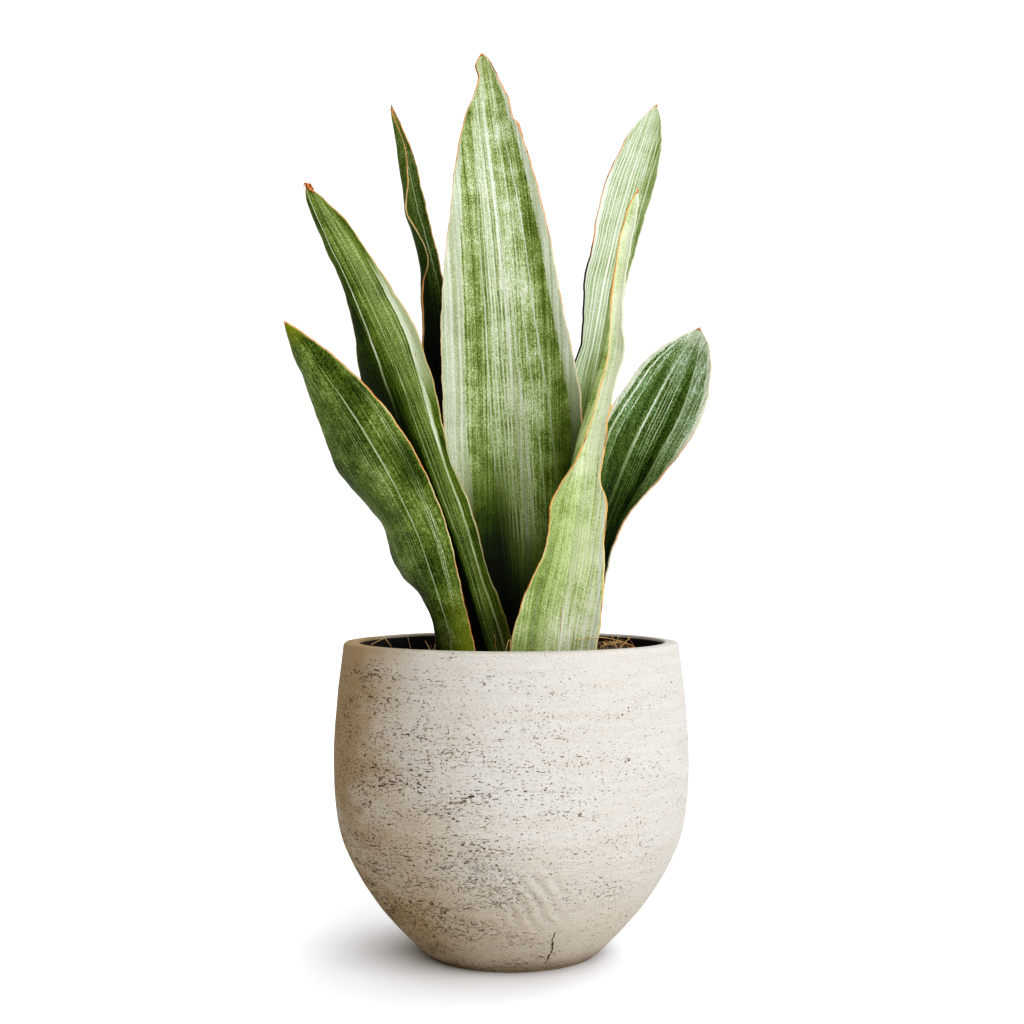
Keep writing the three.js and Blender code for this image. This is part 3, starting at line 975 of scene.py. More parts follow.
@dataclass
class Planter:
    """The round fibre-clay planter, turned ring by ring from its base to its inside floor."""

    wall: float = 0.009
    floor: float = 0.012
    base_radius: float = 0.048
    base_round: float = 0.0012
    lip_round: float = 0.0025
    mouth_round: float = 0.0018
    sides: int = 256
    outside_steps: int = 90
    inside_steps: int = 30
    pole_inset: float = 0.7
    unevenness: float = 0.0005
    even_foot: float = 0.01
    presses: tuple[tuple[str, float, float], ...] = (("swell", 0.030, 1.0), ("pinch", 0.006, 0.45))
    smooth_angle: float = math.radians(50)
    outside_shape: Rows = (
        (0.617, 0.077), (0.759, 0.172), (0.893, 0.296), (0.972, 0.419), (1.0, 0.6), (0.983, 0.805),
    )
    lip_share: float = 0.947
    radius: float = field(init=False)
    height: float = field(init=False)

    def __post_init__(self) -> None:
        """Takes the full width and height from the frame."""
        _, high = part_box("planter")
        self.radius = high.x
        self.height = high.z

    def outside(self, steps: int) -> list[Vector]:
        """The outer wall's line from the base to the lip.

        Args:
            steps: How many stretches it has.

        Returns:
            Points of radius and height.
        """
        knots = [Vector((self.base_radius, 0.0))]
        knots += [Vector((r * self.radius, h * self.height)) for r, h in self.outside_shape]
        knots.append(Vector((self.lip_share * self.radius, self.height - self.lip_round)))
        points = []
        for i in range(steps + 1):
            place = i / steps * (len(knots) - 1)
            k = min(int(place), len(knots) - 2)
            p0, p1 = knots[max(k - 1, 0)], knots[k]
            p2, p3 = knots[k + 1], knots[min(k + 2, len(knots) - 1)]
            t = place - k
            slope_a, slope_b = (p2 - p0) / 2, (p3 - p1) / 2
            points.append(
                p1 * (2 * t**3 - 3 * t**2 + 1)
                + p2 * (3 * t**2 - 2 * t**3)
                + slope_a * (t**3 - 2 * t**2 + t)
                + slope_b * (t**3 - t**2)
            )
        return points

    @cached_property
    def inner_line(self) -> tuple[list[float], list[float]]:
        """The inner wall, one wall's thickness in from the outer.

        Returns:
            Heights, and the radius at each.
        """
        line = self.outside(self.outside_steps)
        heights, radii = [], []
        for before, after in zip(line, line[1:]):
            run = (after - before).normalized()
            middle = (before + after) / 2
            heights.append(middle.y + self.wall * run.x)
            radii.append(middle.x - self.wall * run.y)
        return heights, radii

    def inside_radius(self, height: float) -> float:
        """How far the inner wall stands from the axis.

        Args:
            height: A height above the floor that the planter stands on.

        Returns:
            The inner radius there.
        """
        return float(np.interp(height, *self.inner_line))

    def _quarter(self, centre: Vector, radius: float, start: float, steps: int) -> list[Vector]:
        """A quarter of a circle, anticlockwise from the start angle."""
        angles = [start + i / steps * math.pi / 2 for i in range(steps + 1)]
        return [centre + Vector((radius * math.cos(a), radius * math.sin(a))) for a in angles]

    def profile(self) -> list[Vector]:
        """The whole wall's line, from under the base over the rim to the inside floor.

        Returns:
            Points of radius and height.
        """
        foot = Vector((self.base_radius - self.base_round * 0.4, self.base_round))
        line = self._quarter(foot - Vector((self.base_round, 0)), self.base_round, -math.pi / 2, 4)
        line += [p for p in self.outside(self.outside_steps) if p.y > 2 * self.base_round][:-1]
        lip = Vector((self.lip_share * self.radius - self.lip_round, self.height - self.lip_round))
        line += self._quarter(lip, self.lip_round, 0.0, 5)
        mouth_height = self.height - self.mouth_round
        mouth = Vector((self.inside_radius(mouth_height) + self.mouth_round, mouth_height))
        line += self._quarter(mouth, self.mouth_round, math.pi / 2, 4)
        for i in range(1, self.inside_steps + 1):
            height = mouth_height + (self.floor - mouth_height) * i / self.inside_steps
            line.append(Vector((self.inside_radius(height), height)))
        return line

    def build(self) -> bpy.types.Object:
        """Draws the wall up from a ring, closes the base and the inside floor, and dresses it.

        Returns:
            The finished planter.
        """
        line = self.profile()
        piece = start_disc(self.sides, *line[0])
        bpy.ops.mesh.inset(thickness=line[0].x * self.pole_inset)
        bpy.ops.mesh.select_mode(type="EDGE")
        bpy.ops.object.mode_set(mode="OBJECT")
        self._select_ring(piece, line[0])
        bpy.ops.object.mode_set(mode="EDIT")
        draw_rings(line, bpy.ops.mesh.extrude_edges_move)
        bpy.ops.mesh.edge_face_add()
        bpy.ops.mesh.inset(thickness=line[-1].x * self.pole_inset)
        face_outwards()
        self._roughen(piece)
        self._coat(piece)
        bpy.ops.object.shade_smooth_by_angle(angle=self.smooth_angle)
        claim(piece, "planter_shell", ["planter"])
        return piece

    def _select_ring(self, piece: bpy.types.Object, at: Vector) -> None:
        """Selects only the edges of one ring.

        Args:
            piece: The planter so far.
            at: The ring's radius and height.
        """
        near = 1e-5
        points = piece.data.vertices
        for edge in piece.data.edges:
            ends = [points[i].co for i in edge.vertices]
            edge.select = all(
                abs(end.xy.length - at.x) < near and abs(end.z - at.y) < near for end in ends
            )
        for face in piece.data.polygons:
            face.select = False

    def _roughen(self, piece: bpy.types.Object) -> None:
        """Gives the outer wall the slight unevenness of hand-pressed clay, always inwards.

        Args:
            piece: The planter.
        """
        group = piece.vertex_groups.new(name="outer_wall")
        for point in piece.data.vertices:
            height = point.co.z
            inner = self.inside_radius(height) + self.wall * 0.5
            if point.co.xy.length > inner and height > 2 * self.base_round:
                group.add([point.index], min(1.0, height / self.even_foot), "REPLACE")
        for name, scale, depth in self.presses:
            texture = bpy.data.textures.new(name, "CLOUDS")
            texture.noise_scale = scale
            texture.noise_depth = 2
            press = piece.modifiers.new(name, "DISPLACE")
            press.texture = texture
            press.texture_coords = "LOCAL"
            press.vertex_group = group.name
            press.strength = self.unevenness * depth
            press.mid_level = 1.0
            bpy.ops.object.modifier_apply(modifier=name)

    def _coat(self, piece: bpy.types.Object) -> None:
        """Clay outside and on the rim, black coating on the inside.

        Args:
            piece: The planter.
        """
        mesh = piece.data
        mesh.materials.append(FibreClay(self.radius, self.height).material())
        mesh.materials.append(DARK_COATING.material())
        coat_top = self.height - self.mouth_round * 0.9
        for face in mesh.polygons:
            centre = face.center
            inner = self.inside_radius(centre.z) + self.wall * 0.4
            inside = self.floor - 1e-4 < centre.z < coat_top and centre.xy.length < inner
            face.material_index = 1 if inside else 0


@dataclass
class LeafBlade:
    """One stiff blade, bent from a flat grid that is wrapped round its length.

    midrib rows give height, x and y. left and right rows give height and the width of that half.
    lay rows give height, turn, and the fold of the left and right halves, in degrees. veins rows
    give the share of the rise, and where across the blade a few of its veins run; lanes gives the
    lane of each of these veins, and the stripes between them run along.
    """

    node: str
    midrib: Rows
    left: Rows
    right: Rows
    lay: Rows
    veins: Rows
    lanes: tuple[float, ...]
    skin: LeafSkin
    notches: Rows = ()
    seed: int = 1
    base_thickness: float = 0.0046
    lower_thickness: float = 0.0032
    middle_thickness: float = 0.0026
    tip_thickness: float = 0.0015
    margin_thickness: float = 0.0010
    crease: float = 0.2
    crease_blend: float = 0.10
    ring: int = 64
    stations: int = 220
    swell: float = 0.0003
    swell_lengths: Point = (0.055, 0.029, 0.013)
    swell_skew: float = 1.5
    full_swell: float = 0.01
    waver: float = 0.0002
    waver_lengths: Point = (0.017, 0.0075, 0.0031)
    least_width: float = 0.0004
    tip_round: float = 0.0022
    beyond: float = 1.6

    def _midline(self, heights: np.ndarray) -> np.ndarray:
        """Points along the middle of the blade."""
        place = follow(self.midrib, heights)
        return np.column_stack([place, np.clip(heights, self.midrib[0][0], self.midrib[-1][0])])

    def _axes(self, heights: np.ndarray) -> tuple[np.ndarray, np.ndarray]:
        """The blade's own directions.

        Args:
            heights: Where they are worked out.

        Returns:
            The directions across the blade and out of its front.
        """
        reach = 0.001
        length = self._midline(heights + reach) - self._midline(heights - reach)
        length /= np.linalg.norm(length, axis=1)[:, None]
        turn = np.radians(follow(self.lay, heights)[:, 0])
        across = np.column_stack([np.cos(turn), np.sin(turn), np.zeros_like(turn)])
        across -= length * np.sum(across * length, axis=1)[:, None]
        across /= np.linalg.norm(across, axis=1)[:, None]
        return across, np.cross(across, length)

    def _widths(self, heights: np.ndarray, rows: Rows, side: int) -> np.ndarray:
        """Width of one half, with its fine waver, its notches and the rounded tip.

        Args:
            heights: Where it is worked out.
            rows: That half's rows.
            side: -1 for the left half, 1 for the right.

        Returns:
            The width at each height.
        """
        draw = random.Random(self.seed + side)
        width = follow(rows, heights)[:, 0]
        for length in self.waver_lengths:
            phase = draw.uniform(0, 2 * math.pi)
            share = 0.5 * self.waver * (length / self.waver_lengths[1]) ** 0.5
            width = width + share * (np.sin(heights * 2 * math.pi / length + phase) - 1)
        for at_side, height, depth, length in self.notches:
            if at_side == side:
                below = (heights - height) / length
                bite = np.where((below >= 0) & (below <= 1), 1 - below, 0.0)
                width = width - depth * bite
        return np.maximum(width, self.least_width) * self._closing(heights)

    def _closing(self, heights: np.ndarray) -> np.ndarray:
        """The share of width and thickness that is left as the tip rounds off."""
        short = np.clip((heights - (self.midrib[-1][0] - self.tip_round)) / self.tip_round, 0, 1)
        return np.sqrt(1 - short**2)

    def _half(self, width: np.ndarray, fold: np.ndarray, q: np.ndarray) -> tuple[np.ndarray, ...]:
        """Bends one half of the cross-section to an arc.

        Args:
            width: Its width at each height.
            fold: Its fold at each height, in radians.
            q: Shares of the way from the midrib to the margin.

        Returns:
            Places across and forward, and the slope there.
        """
        bend = np.where(np.abs(fold) < 1e-3, 1e-3, fold)[:, None]
        start = self.crease * bend
        gain = 2 * (1 - self.crease) * bend
        slope = start + gain * q
        across = width[:, None] * (np.sin(slope) - np.sin(start)) / gain
        front = width[:, None] * (np.cos(start) - np.cos(slope)) / gain
        return across, front, slope

    def _thickness(self, rise: np.ndarray) -> np.ndarray:
        """Thickness at the midrib: a stout base, an even blade and a thin tip.

        Args:
            rise: Shares of the way from root to tip.

        Returns:
            The thickness at each.
        """
        rows = (
            (0.0, self.base_thickness),
            (0.3, self.lower_thickness),
            (0.7, self.middle_thickness),
            (1.0, self.tip_thickness),
        )
        return follow(rows, rise)[:, 0]

    def _shape(self, around: np.ndarray, rise: np.ndarray) -> dict[str, np.ndarray]:
        """Works out the blade on a grid of places round it and up it.

        Args:
            around: Angles round the section: 0 at the left margin, half a turn at the right.
            rise: Shares of the way from root to tip.

        Returns:
            The points, and what each keeps for its finish, as tables of rise by around.
        """
        root, top = self.midrib[0][0], self.midrib[-1][0]
        heights = root + (top - root) * rise
        across, front = self._axes(heights)
        lay = np.radians(follow(self.lay, heights))
        left_width = self._widths(heights, self.left, -1)
        right_width = self._widths(heights, self.right, 1)
        share = -np.cos(around)[None, :] * np.ones((len(rise), 1))
        q = np.abs(share)
        sideways_l, forward_l, slope_l = self._half(left_width, lay[:, 1], q)
        sideways_r, forward_r, slope_r = self._half(right_width, lay[:, 2], q)
        rightward = share > 0
        sideways = np.where(rightward, sideways_r, -sideways_l)
        forward = np.where(rightward, forward_r, forward_l)
        blend = ease(share, -self.crease_blend, self.crease_blend)
        lean = -slope_l * (1 - blend) + slope_r * blend
        width = np.where(rightward, right_width[:, None], left_width[:, None])
        edge = width * (1 - q)
        thick = self._thickness(rise)[:, None]
        half = (thick + (self.margin_thickness - thick) * q**2) / 2
        bead = self.margin_thickness / 2
        half = half * np.sqrt(1 - (1 - np.clip(edge / bead, 0, 1)) ** 2)
        half = half * self._closing(heights)[:, None]
        across, front = across[:, None, :], front[:, None, :]
        outward = front * np.cos(lean)[..., None] - across * np.sin(lean)[..., None]
        side = np.where(np.sin(around) >= 0, 1.0, -1.0)[None, :]
        lift = side * half + self._swelling(heights, share, width)
        points = self._midline(heights)[:, None, :] + across * sideways[..., None]
        points = points + front * forward[..., None] + outward * lift[..., None]
        flat = np.broadcast_to(heights[:, None], share.shape)
        face = np.broadcast_to(np.where(side > 0, 0.0, 1.0), share.shape)
        return {
            "points": points,
            "lane": self._lanes(rise, share),
            "rise": np.broadcast_to(rise[:, None], share.shape),
            "edge": edge,
            "tip_distance": top - flat,
            "grain": np.stack([share * width, flat, face], axis=-1),
        }

    def _lanes(self, rise: np.ndarray, share: np.ndarray) -> np.ndarray:
        """Where each point lies among the veins.

        Args:
            rise: Shares of the way from root to tip.
            share: Places across, -1 to 1.

        Returns:
            The lane of each point.
        """
        lanes = np.empty_like(share)
        marks = [-self.beyond, *self.lanes, self.beyond]
        for k, places in enumerate(follow(self.veins, rise)):
            lanes[k] = np.interp(share[k], [-self.beyond, *places, self.beyond], marks)
        return lanes

    def _swelling(self, heights: np.ndarray, share: np.ndarray, width: np.ndarray) -> np.ndarray:
        """Slight unevenness of the whole blade, strongest towards its margins.

        Args:
            heights: The height of each row.
            share: Places across, -1 to 1.
            width: The half's width at each point.

        Returns:
            How far each point is lifted.
        """
        draw = random.Random(self.seed * 7)
        total = np.zeros_like(share)
        for length in self.swell_lengths:
            phase = draw.uniform(0, 2 * math.pi)
            skew = draw.uniform(-self.swell_skew, self.swell_skew)
            wave = np.sin(heights[:, None] * 2 * math.pi / length + phase + skew * share)
            total += wave * (0.3 + 0.7 * share**2) * length / self.swell_lengths[1]
        return self.swell * total * np.clip(width / self.full_swell, 0, 1)

    def build(self) -> bpy.types.Object:
        """Wraps the grid round the blade, closes its seam and ends, and dresses it.

        Returns:
            The finished blade.
        """
        deselect()
        bpy.ops.mesh.primitive_grid_add(x_subdivisions=self.ring, y_subdivisions=self.stations, size=2)
        piece = bpy.context.object
        mesh = piece.data
        flat = np.zeros(len(mesh.vertices) * 3)
        mesh.vertices.foreach_get("co", flat)
        flat = flat.reshape(-1, 3)
        column = np.rint((flat[:, 0] + 1) / 2 * self.ring).astype(int)
        row = np.rint((flat[:, 1] + 1) / 2 * self.stations).astype(int)
        around = np.arange(self.ring + 1) / self.ring * 2 * math.pi
        shape = self._shape(around, np.arange(self.stations + 1) / self.stations)
        mesh.vertices.foreach_set("co", shape.pop("points")[row, column].ravel())
        for name, values in shape.items():
            keep(mesh, name, np.ascontiguousarray(values[row, column], dtype=np.float32))
        bpy.ops.object.mode_set(mode="EDIT")
        bpy.ops.mesh.select_all(action="SELECT")
        bpy.ops.mesh.remove_doubles(threshold=1e-6)
        bpy.ops.mesh.select_all(action="DESELECT")
        bpy.ops.mesh.select_mode(type="EDGE")
        bpy.ops.mesh.select_non_manifold()
        bpy.ops.mesh.fill_holes(sides=0)
        face_outwards()
        bpy.ops.object.shade_smooth()
        mesh.materials.append(self.skin.material())
        claim(piece, self.node + "_blade", [self.node])
        return piece


@dataclass
class SoilBed:
    """The potting soil, heaped slightly, with crumbs over it."""

    planter: Planter
    below_rim: float = 0.010
    mound: float = 0.002
    lump: float = 0.0007
    lump_lengths: tuple[float, float] = (0.044, 0.038)
    heap: tuple[float, float] = (0.060, 0.028)
    heap_height: float = 0.005
    heap_spread: float = 0.020
    clearance: float = 0.00045
    sides: int = 200
    rings: int = 80
    levels: int = 24
    roughness: float = 0.0011
    crumbliness: float = 260.0
    settled: float = 0.97

    @property
    def edge_height(self) -> float:
        """Height of the soil where it meets the planter."""
        return self.planter.height - self.below_rim

    @property
    def edge_radius(self) -> float:
        """Radius of the soil where it meets the planter."""
        return self.planter.inside_radius(self.edge_height) - self.clearance

    def surface_height(self, x: float, y: float) -> float:
        """Height of the soil at a place.

        Args:
            x: Place to the right of the axis.
            y: Place behind the axis.

        Returns:
            The height above the floor that the planter stands on.
        """
        out = min(math.hypot(x, y) / self.edge_radius, 1.0)
        along_x = 2 * math.pi * x / self.lump_lengths[0]
        along_y = 2 * math.pi * y / self.lump_lengths[1]
        lumps = math.sin(along_x + math.sin(along_y / 2)) + math.sin(along_y) * math.cos(along_x / 2)
        away = ((x - self.heap[0]) ** 2 + (y - self.heap[1]) ** 2) / self.heap_spread**2
        relief = self.lump * lumps + self.heap_height * math.exp(-away)
        fine = noise.fractal(Vector((x, y, 0.3)) * self.crumbliness, 0.8, 2.1, 4)
        settle = 1 - max(0.0, out - self.settled) / (1 - self.settled)
        return self.edge_height + self.mound * (1 - out * out) + (relief + self.roughness * fine) * settle

    def build(self) -> bpy.types.Object:
        """Draws the bed up the planter's wall, then inwards over the top, and roughens it.

        Returns:
            The finished soil.
        """
        bottom = self.planter.floor + self.clearance
        levels = np.linspace(bottom, self.edge_height, self.levels)
        line = [(self.planter.inside_radius(h) - self.clearance, h) for h in levels]
        piece = start_disc(self.sides, *line[0])
        draw_rings(line, bpy.ops.mesh.extrude_region_move)
        for _ in range(self.rings - 1):
            bpy.ops.mesh.inset(thickness=self.edge_radius / self.rings)
        bpy.ops.mesh.poke()
        face_outwards()
        for point in piece.data.vertices:
            if point.co.z > self.edge_height - 1e-5:
                point.co.z = self.surface_height(point.co.x, point.co.y)
        bpy.ops.object.shade_smooth()
        piece.data.materials.append(Peat("peat").material())
        claim(piece, "soil_bed", ["potting_soil"])
        return piece


class Crumb(Enum):
    """The two kinds of crumb on the soil: its size range in metres, and how many there are."""

    PEAT = (0.0006, 0.0019, 1500)
    HUSK = (0.0010, 0.0026, 130)


@dataclass
class SoilCrumbs:
    """Loose crumbs strewn over the soil."""

    soil: SoilBed
    kind: Crumb
    finish: Peat
    seed: int = 5
    dents: Span = (0.65, 1.2)
    widths: Span = (0.7, 1.3)
    heights: Span = (0.5, 0.9)
    raised: float = 0.12

    def build(self) -> bpy.types.Object:
        """Models one crumb, and strews copies of it, each turned and squashed its own way.

        Returns:
            The crumbs, as one piece.
        """
        small, large, count = self.kind.value
        draw = random.Random(self.seed)
        deselect()
        bpy.ops.mesh.primitive_ico_sphere_add(subdivisions=1, radius=1)
        crumb = bpy.context.object
        points = np.array([v.co for v in crumb.data.vertices])
        faces = np.array([f.vertices[:] for f in crumb.data.polygons])
        bpy.data.objects.remove(crumb)
        all_points, all_faces = [], []
        for i in range(count):
            out = (self.soil.edge_radius - large) * math.sqrt(draw.random())
            angle = draw.uniform(0, 2 * math.pi)
            x, y = out * math.cos(angle), out * math.sin(angle)
            size = small + (large - small) * draw.random() ** 2
            dents = np.array([draw.uniform(*self.dents) for _ in points])[:, None]
            squash = np.array([draw.uniform(*s) for s in (self.widths, self.widths, self.heights)])
            lump = points * dents * squash * size / 2
            turn = draw.uniform(0, 2 * math.pi)
            cos, sin = math.cos(turn), math.sin(turn)
            lump = lump @ np.array([[cos, sin, 0], [-sin, cos, 0], [0, 0, 1]])
            lump += np.array([x, y, self.soil.surface_height(x, y) + size * self.raised])
            all_faces.append(faces + i * len(points))
            all_points.append(lump)
        mesh = bpy.data.meshes.new("crumbs")
        mesh.from_pydata(np.vstack(all_points).tolist(), [], np.vstack(all_faces).tolist())
        piece = bpy.data.objects.new("crumbs", mesh)
        bpy.context.scene.collection.objects.link(piece)
        mesh.materials.append(self.finish.material())
        claim(piece, self.kind.name.lower() + "_crumbs")
        return piece


@dataclass(frozen=True)
class Strand:
    """One fibre: its points and its radius."""

    points: tuple[Point, ...]
    radius: float = 0.00016


def lay_strands(strands: Sequence[Strand], taper: float) -> bpy.types.Object:
    """Lays strands as round curves that thin towards their ends, and makes them one mesh.

    Args:
        strands: The strands.
        taper: The share of its radius that each has at its ends.

    Returns:
        The mesh object, with no material yet.
    """
    deselect()
    bpy.ops.curve.primitive_nurbs_path_add(radius=1)
    piece = bpy.context.object
    curve = piece.data
    curve.splines.clear()
    curve.bevel_depth = 1.0
    curve.bevel_resolution = 1
    curve.resolution_u = 5
    curve.use_fill_caps = True
    for strand in strands:
        spline = curve.splines.new("NURBS")
        spline.points.add(len(strand.points) - 1)
        for point, place in zip(spline.points, strand.points):
            point.co = (*place, 1.0)
            point.radius = strand.radius
        spline.order_u = 3
        spline.use_endpoint_u = True
        spline.points[0].radius = strand.radius * taper
        spline.points[-1].radius = strand.radius * taper
    piece.select_set(True)
    bpy.ops.object.convert(target="MESH")
    piece = bpy.context.object
    bpy.ops.object.shade_smooth()
    piece.data.materials.clear()
    return piece


@dataclass
class CoirFibres:
    """Husk fibres that stick out of the soil, some listed one by one and the rest strewn."""

    soil: SoilBed
    seed: int = 11
    strewn: int = 90
    radii: Span = (0.00006, 0.00015)
    lengths: Span = (0.006, 0.018)
    arches: Span = (0.0005, 0.0045)
    curl: float = 60.0
    reach: float = 0.085
    heap_shift: float = 0.002
    heap_spread: Span = (0.014, 0.018)
    wall_gap: float = 0.008
    sink: float = 0.0002
    strands: tuple[Strand, ...] = (
        Strand(
            ((0.0325, -0.0460, 0.1766), (0.0396, -0.0440, 0.1778), (0.0485, -0.0380, 0.1783),
             (0.0586, -0.0250, 0.1758), (0.0675, -0.0100, 0.1721)), 0.00022),
        Strand(((0.0576, 0.0200, 0.1770), (0.0590, 0.0140, 0.1727), (0.0607, 0.0050, 0.1675)), 0.00022),
        Strand(((0.0637, 0.0320, 0.1757), (0.0615, 0.0260, 0.1720), (0.0588, 0.0200, 0.1675)), 0.00022),
        Strand(((0.0707, 0.0250, 0.1761), (0.0669, 0.0200, 0.1723), (0.0611, 0.0120, 0.1680)), 0.00024),
        Strand(((0.0678, 0.0320, 0.1745), (0.0695, 0.0240, 0.1721), (0.0713, 0.0180, 0.1686)), 0.0002),
        Strand(
            ((0.0535, 0.0180, 0.1731), (0.0578, 0.0140, 0.1716), (0.0637, 0.0160, 0.1720),
             (0.0686, 0.0200, 0.1685)), 0.0002),
        Strand(((0.0507, 0.0100, 0.1695), (0.0555, 0.0140, 0.1727), (0.0603, 0.0160, 0.1690)), 0.00022),
        Strand(((-0.0748, 0.0140, 0.1768), (-0.0703, 0.0080, 0.1731), (-0.0650, 0.0010, 0.1660)), 0.00022),
        Strand(((-0.0610, 0.0300, 0.1758), (-0.0594, 0.0240, 0.1721), (-0.0575, 0.0160, 0.1660)), 0.00015),
        Strand(((-0.0793, 0.0000, 0.1714), (-0.0761, 0.0020, 0.1735), (-0.0724, 0.0050, 0.1745)), 0.00026),
        Strand(((-0.0482, -0.0100, 0.1743), (-0.0464, -0.0120, 0.1722), (-0.0440, -0.0140, 0.1665)), 0.00022),
        Strand(((-0.0422, -0.0080, 0.1747), (-0.0426, -0.0100, 0.1721), (-0.0436, -0.0120, 0.1665)), 0.0002),
        Strand(
            ((-0.0028, -0.0480, 0.1690), (-0.0023, -0.0470, 0.1756), (-0.0007, -0.0460, 0.1777),
             (-0.0001, -0.0470, 0.1756), (-0.0012, -0.0480, 0.1680)), 0.0002),
        Strand(
            ((-0.0095, -0.0200, 0.1788), (-0.0084, -0.0200, 0.1760), (-0.0090, -0.0220, 0.1729),
             (-0.0073, -0.0240, 0.1670)), 0.00022),
    )

    def _strewn(self) -> list[Strand]:
        """Short curved fibres lying in the soil, most of them near the loose heap.

        Returns:
            The fibres.
        """
        draw = random.Random(self.seed)
        strands = []
        for i in range(self.strewn):
            if i % 3:
                x = draw.gauss(self.soil.heap[0] - self.heap_shift, self.heap_spread[0])
                y = draw.gauss(self.soil.heap[1], self.heap_spread[1])
            else:
                out = self.reach * math.sqrt(draw.random())
                angle = draw.uniform(0, 2 * math.pi)
                x, y = out * math.cos(angle), out * math.sin(angle)
            if math.hypot(x, y) > self.soil.edge_radius - self.wall_gap:
                continue
            heading = draw.uniform(0, 2 * math.pi)
            curl = draw.uniform(-self.curl, self.curl)
            length = draw.uniform(*self.lengths)
            arch = draw.uniform(*self.arches)
            points = []
            for k in range(6):
                t = k / 5
                height = self.soil.surface_height(x, y) + arch * math.sin(math.pi * t)
                points.append((x, y, height - self.sink))
                x += length / 5 * math.cos(heading)
                y += length / 5 * math.sin(heading)
                heading += curl * length / 5
            strands.append(Strand(tuple(points), draw.uniform(*self.radii)))
        return strands

    def build(self) -> bpy.types.Object:
        """Lays each fibre as a round curve, then makes them one mesh.

        Returns:
            The fibres, as one piece.
        """
        piece = lay_strands((*self.strands, *self._strewn()), 0.6)
        piece.data.materials.append(COIR.material())
        claim(piece, "coir_fibres")
        return piece


@dataclass
class DryTip:
    """The dried tip of one blade: tapered curls of dead leaf."""

    node: str
    strands: tuple[Strand, ...]
    burnt_share: float = 0.4
    orange: Colour = paint(210, 128, 48)
    burnt: Colour = paint(48, 26, 13)

    def _finish(self) -> TwoTone:
        """Dead, dry leaf: orange where it starts, burnt brown at its end.

        Returns:
            The finish.
        """
        turns = (0.85 - self.burnt_share, 1.05 - self.burnt_share)
        patch = Grain((900, 900, 900))
        return TwoTone(self.node + "_rust", self.orange, self.burnt, patch, turns, roughness=0.6)

    def build(self) -> bpy.types.Object:
        """Lays each curl as a tapered round curve, then makes them one mesh.

        Returns:
            The dry tip.
        """
        piece = lay_strands(self.strands, 0.35)
        piece.data.materials.append(self._finish().material())
        claim(piece, self.node + "_dry_tip")
        return piece


@dataclass
class Studio:
    """Plain white floor, soft light from the right and the camera."""

    floor_size: float = 60.0
    camera_place: Point = (0.0004, -0.8808, 0.2305)
    camera_tilt: float = 1.0457
    lens: float = 54.703
    sensor: float = 36.0
    backdrop: Colour = (0.76, 0.76, 0.76, 1.0)
    bright_side: Colour = (0.39, 0.40, 0.43, 1.0)
    dim_side: Colour = (0.15, 0.125, 0.09, 1.0)
    overhead: Colour = (0.95, 0.95, 0.95, 1.0)
    key_from: Point = (0.50, -0.79, 0.42)
    key_strength: float = 1.72
    key_spread: float = math.radians(60)
    rim_from: Point = (0.42, 0.58, 0.66)
    rim_strength: float = 0.75
    rim_spread: float = math.radians(50)

    def build(self) -> None:
        """Sets up the floor, the light and the camera."""
        deselect()
        bpy.ops.mesh.primitive_plane_add(size=self.floor_size)
        floor = bpy.context.object
        floor.name = "floor"
        floor.data.materials.append(Sweep().material())
        scene = bpy.context.scene
        scene.world = self._air()
        self._sun("key", self.key_from, self.key_strength, self.key_spread)
        self._sun("rim", self.rim_from, self.rim_strength, self.rim_spread)
        camera = bpy.data.cameras.new("camera")
        camera.sensor_width = self.sensor
        camera.lens = self.lens
        camera.clip_start = 0.01
        holder = bpy.data.objects.new("camera", camera)
        holder.location = self.camera_place
        holder.rotation_euler = (math.radians(90 + self.camera_tilt), 0, 0)
        scene.collection.objects.link(holder)
        scene.camera = holder
        scene.view_settings.view_transform = "Standard"
        scene.view_settings.look = "High Contrast"

    def _air(self) -> bpy.types.World:
        """Soft light from all round: a white backdrop, a bright right side and a dim left.

        Returns:
            The world.
        """
        bench = Bench("soft_air", bpy.data.worlds)
        towards = bench.make("ShaderNodeTexCoord").outputs["Generated"]
        x, y, z = bench.axes(towards)
        sides = bench.mix(x.rise(-0.9, 0.5), self.dim_side, self.bright_side)
        domed = bench.mix(z.rise(0.55, 0.8), sides, self.overhead)
        colour = bench.mix(y.rise(0.74, 0.88), domed, self.backdrop)
        air = bench.make("ShaderNodeBackground", sockets={"Color": colour, "Strength": 1.0})
        bench.make("ShaderNodeOutputWorld", sockets={"Surface": air.outputs[0]})
        return bench.owner

    def _sun(self, name: str, away: Point, strength: float, spread: float) -> None:
        """One broad soft light.

        Args:
            name: Its name.
            away: The direction that it shines from.
            strength: How bright it is.
            spread: How wide it is in the sky, in radians.
        """
        light = bpy.data.lights.new(name, "SUN")
        light.energy = strength
        light.angle = spread
        lamp = bpy.data.objects.new(name, light)
        lamp.rotation_euler = Vector(away).to_track_quat("Z", "Y").to_euler()
        bpy.context.scene.collection.objects.link(lamp)


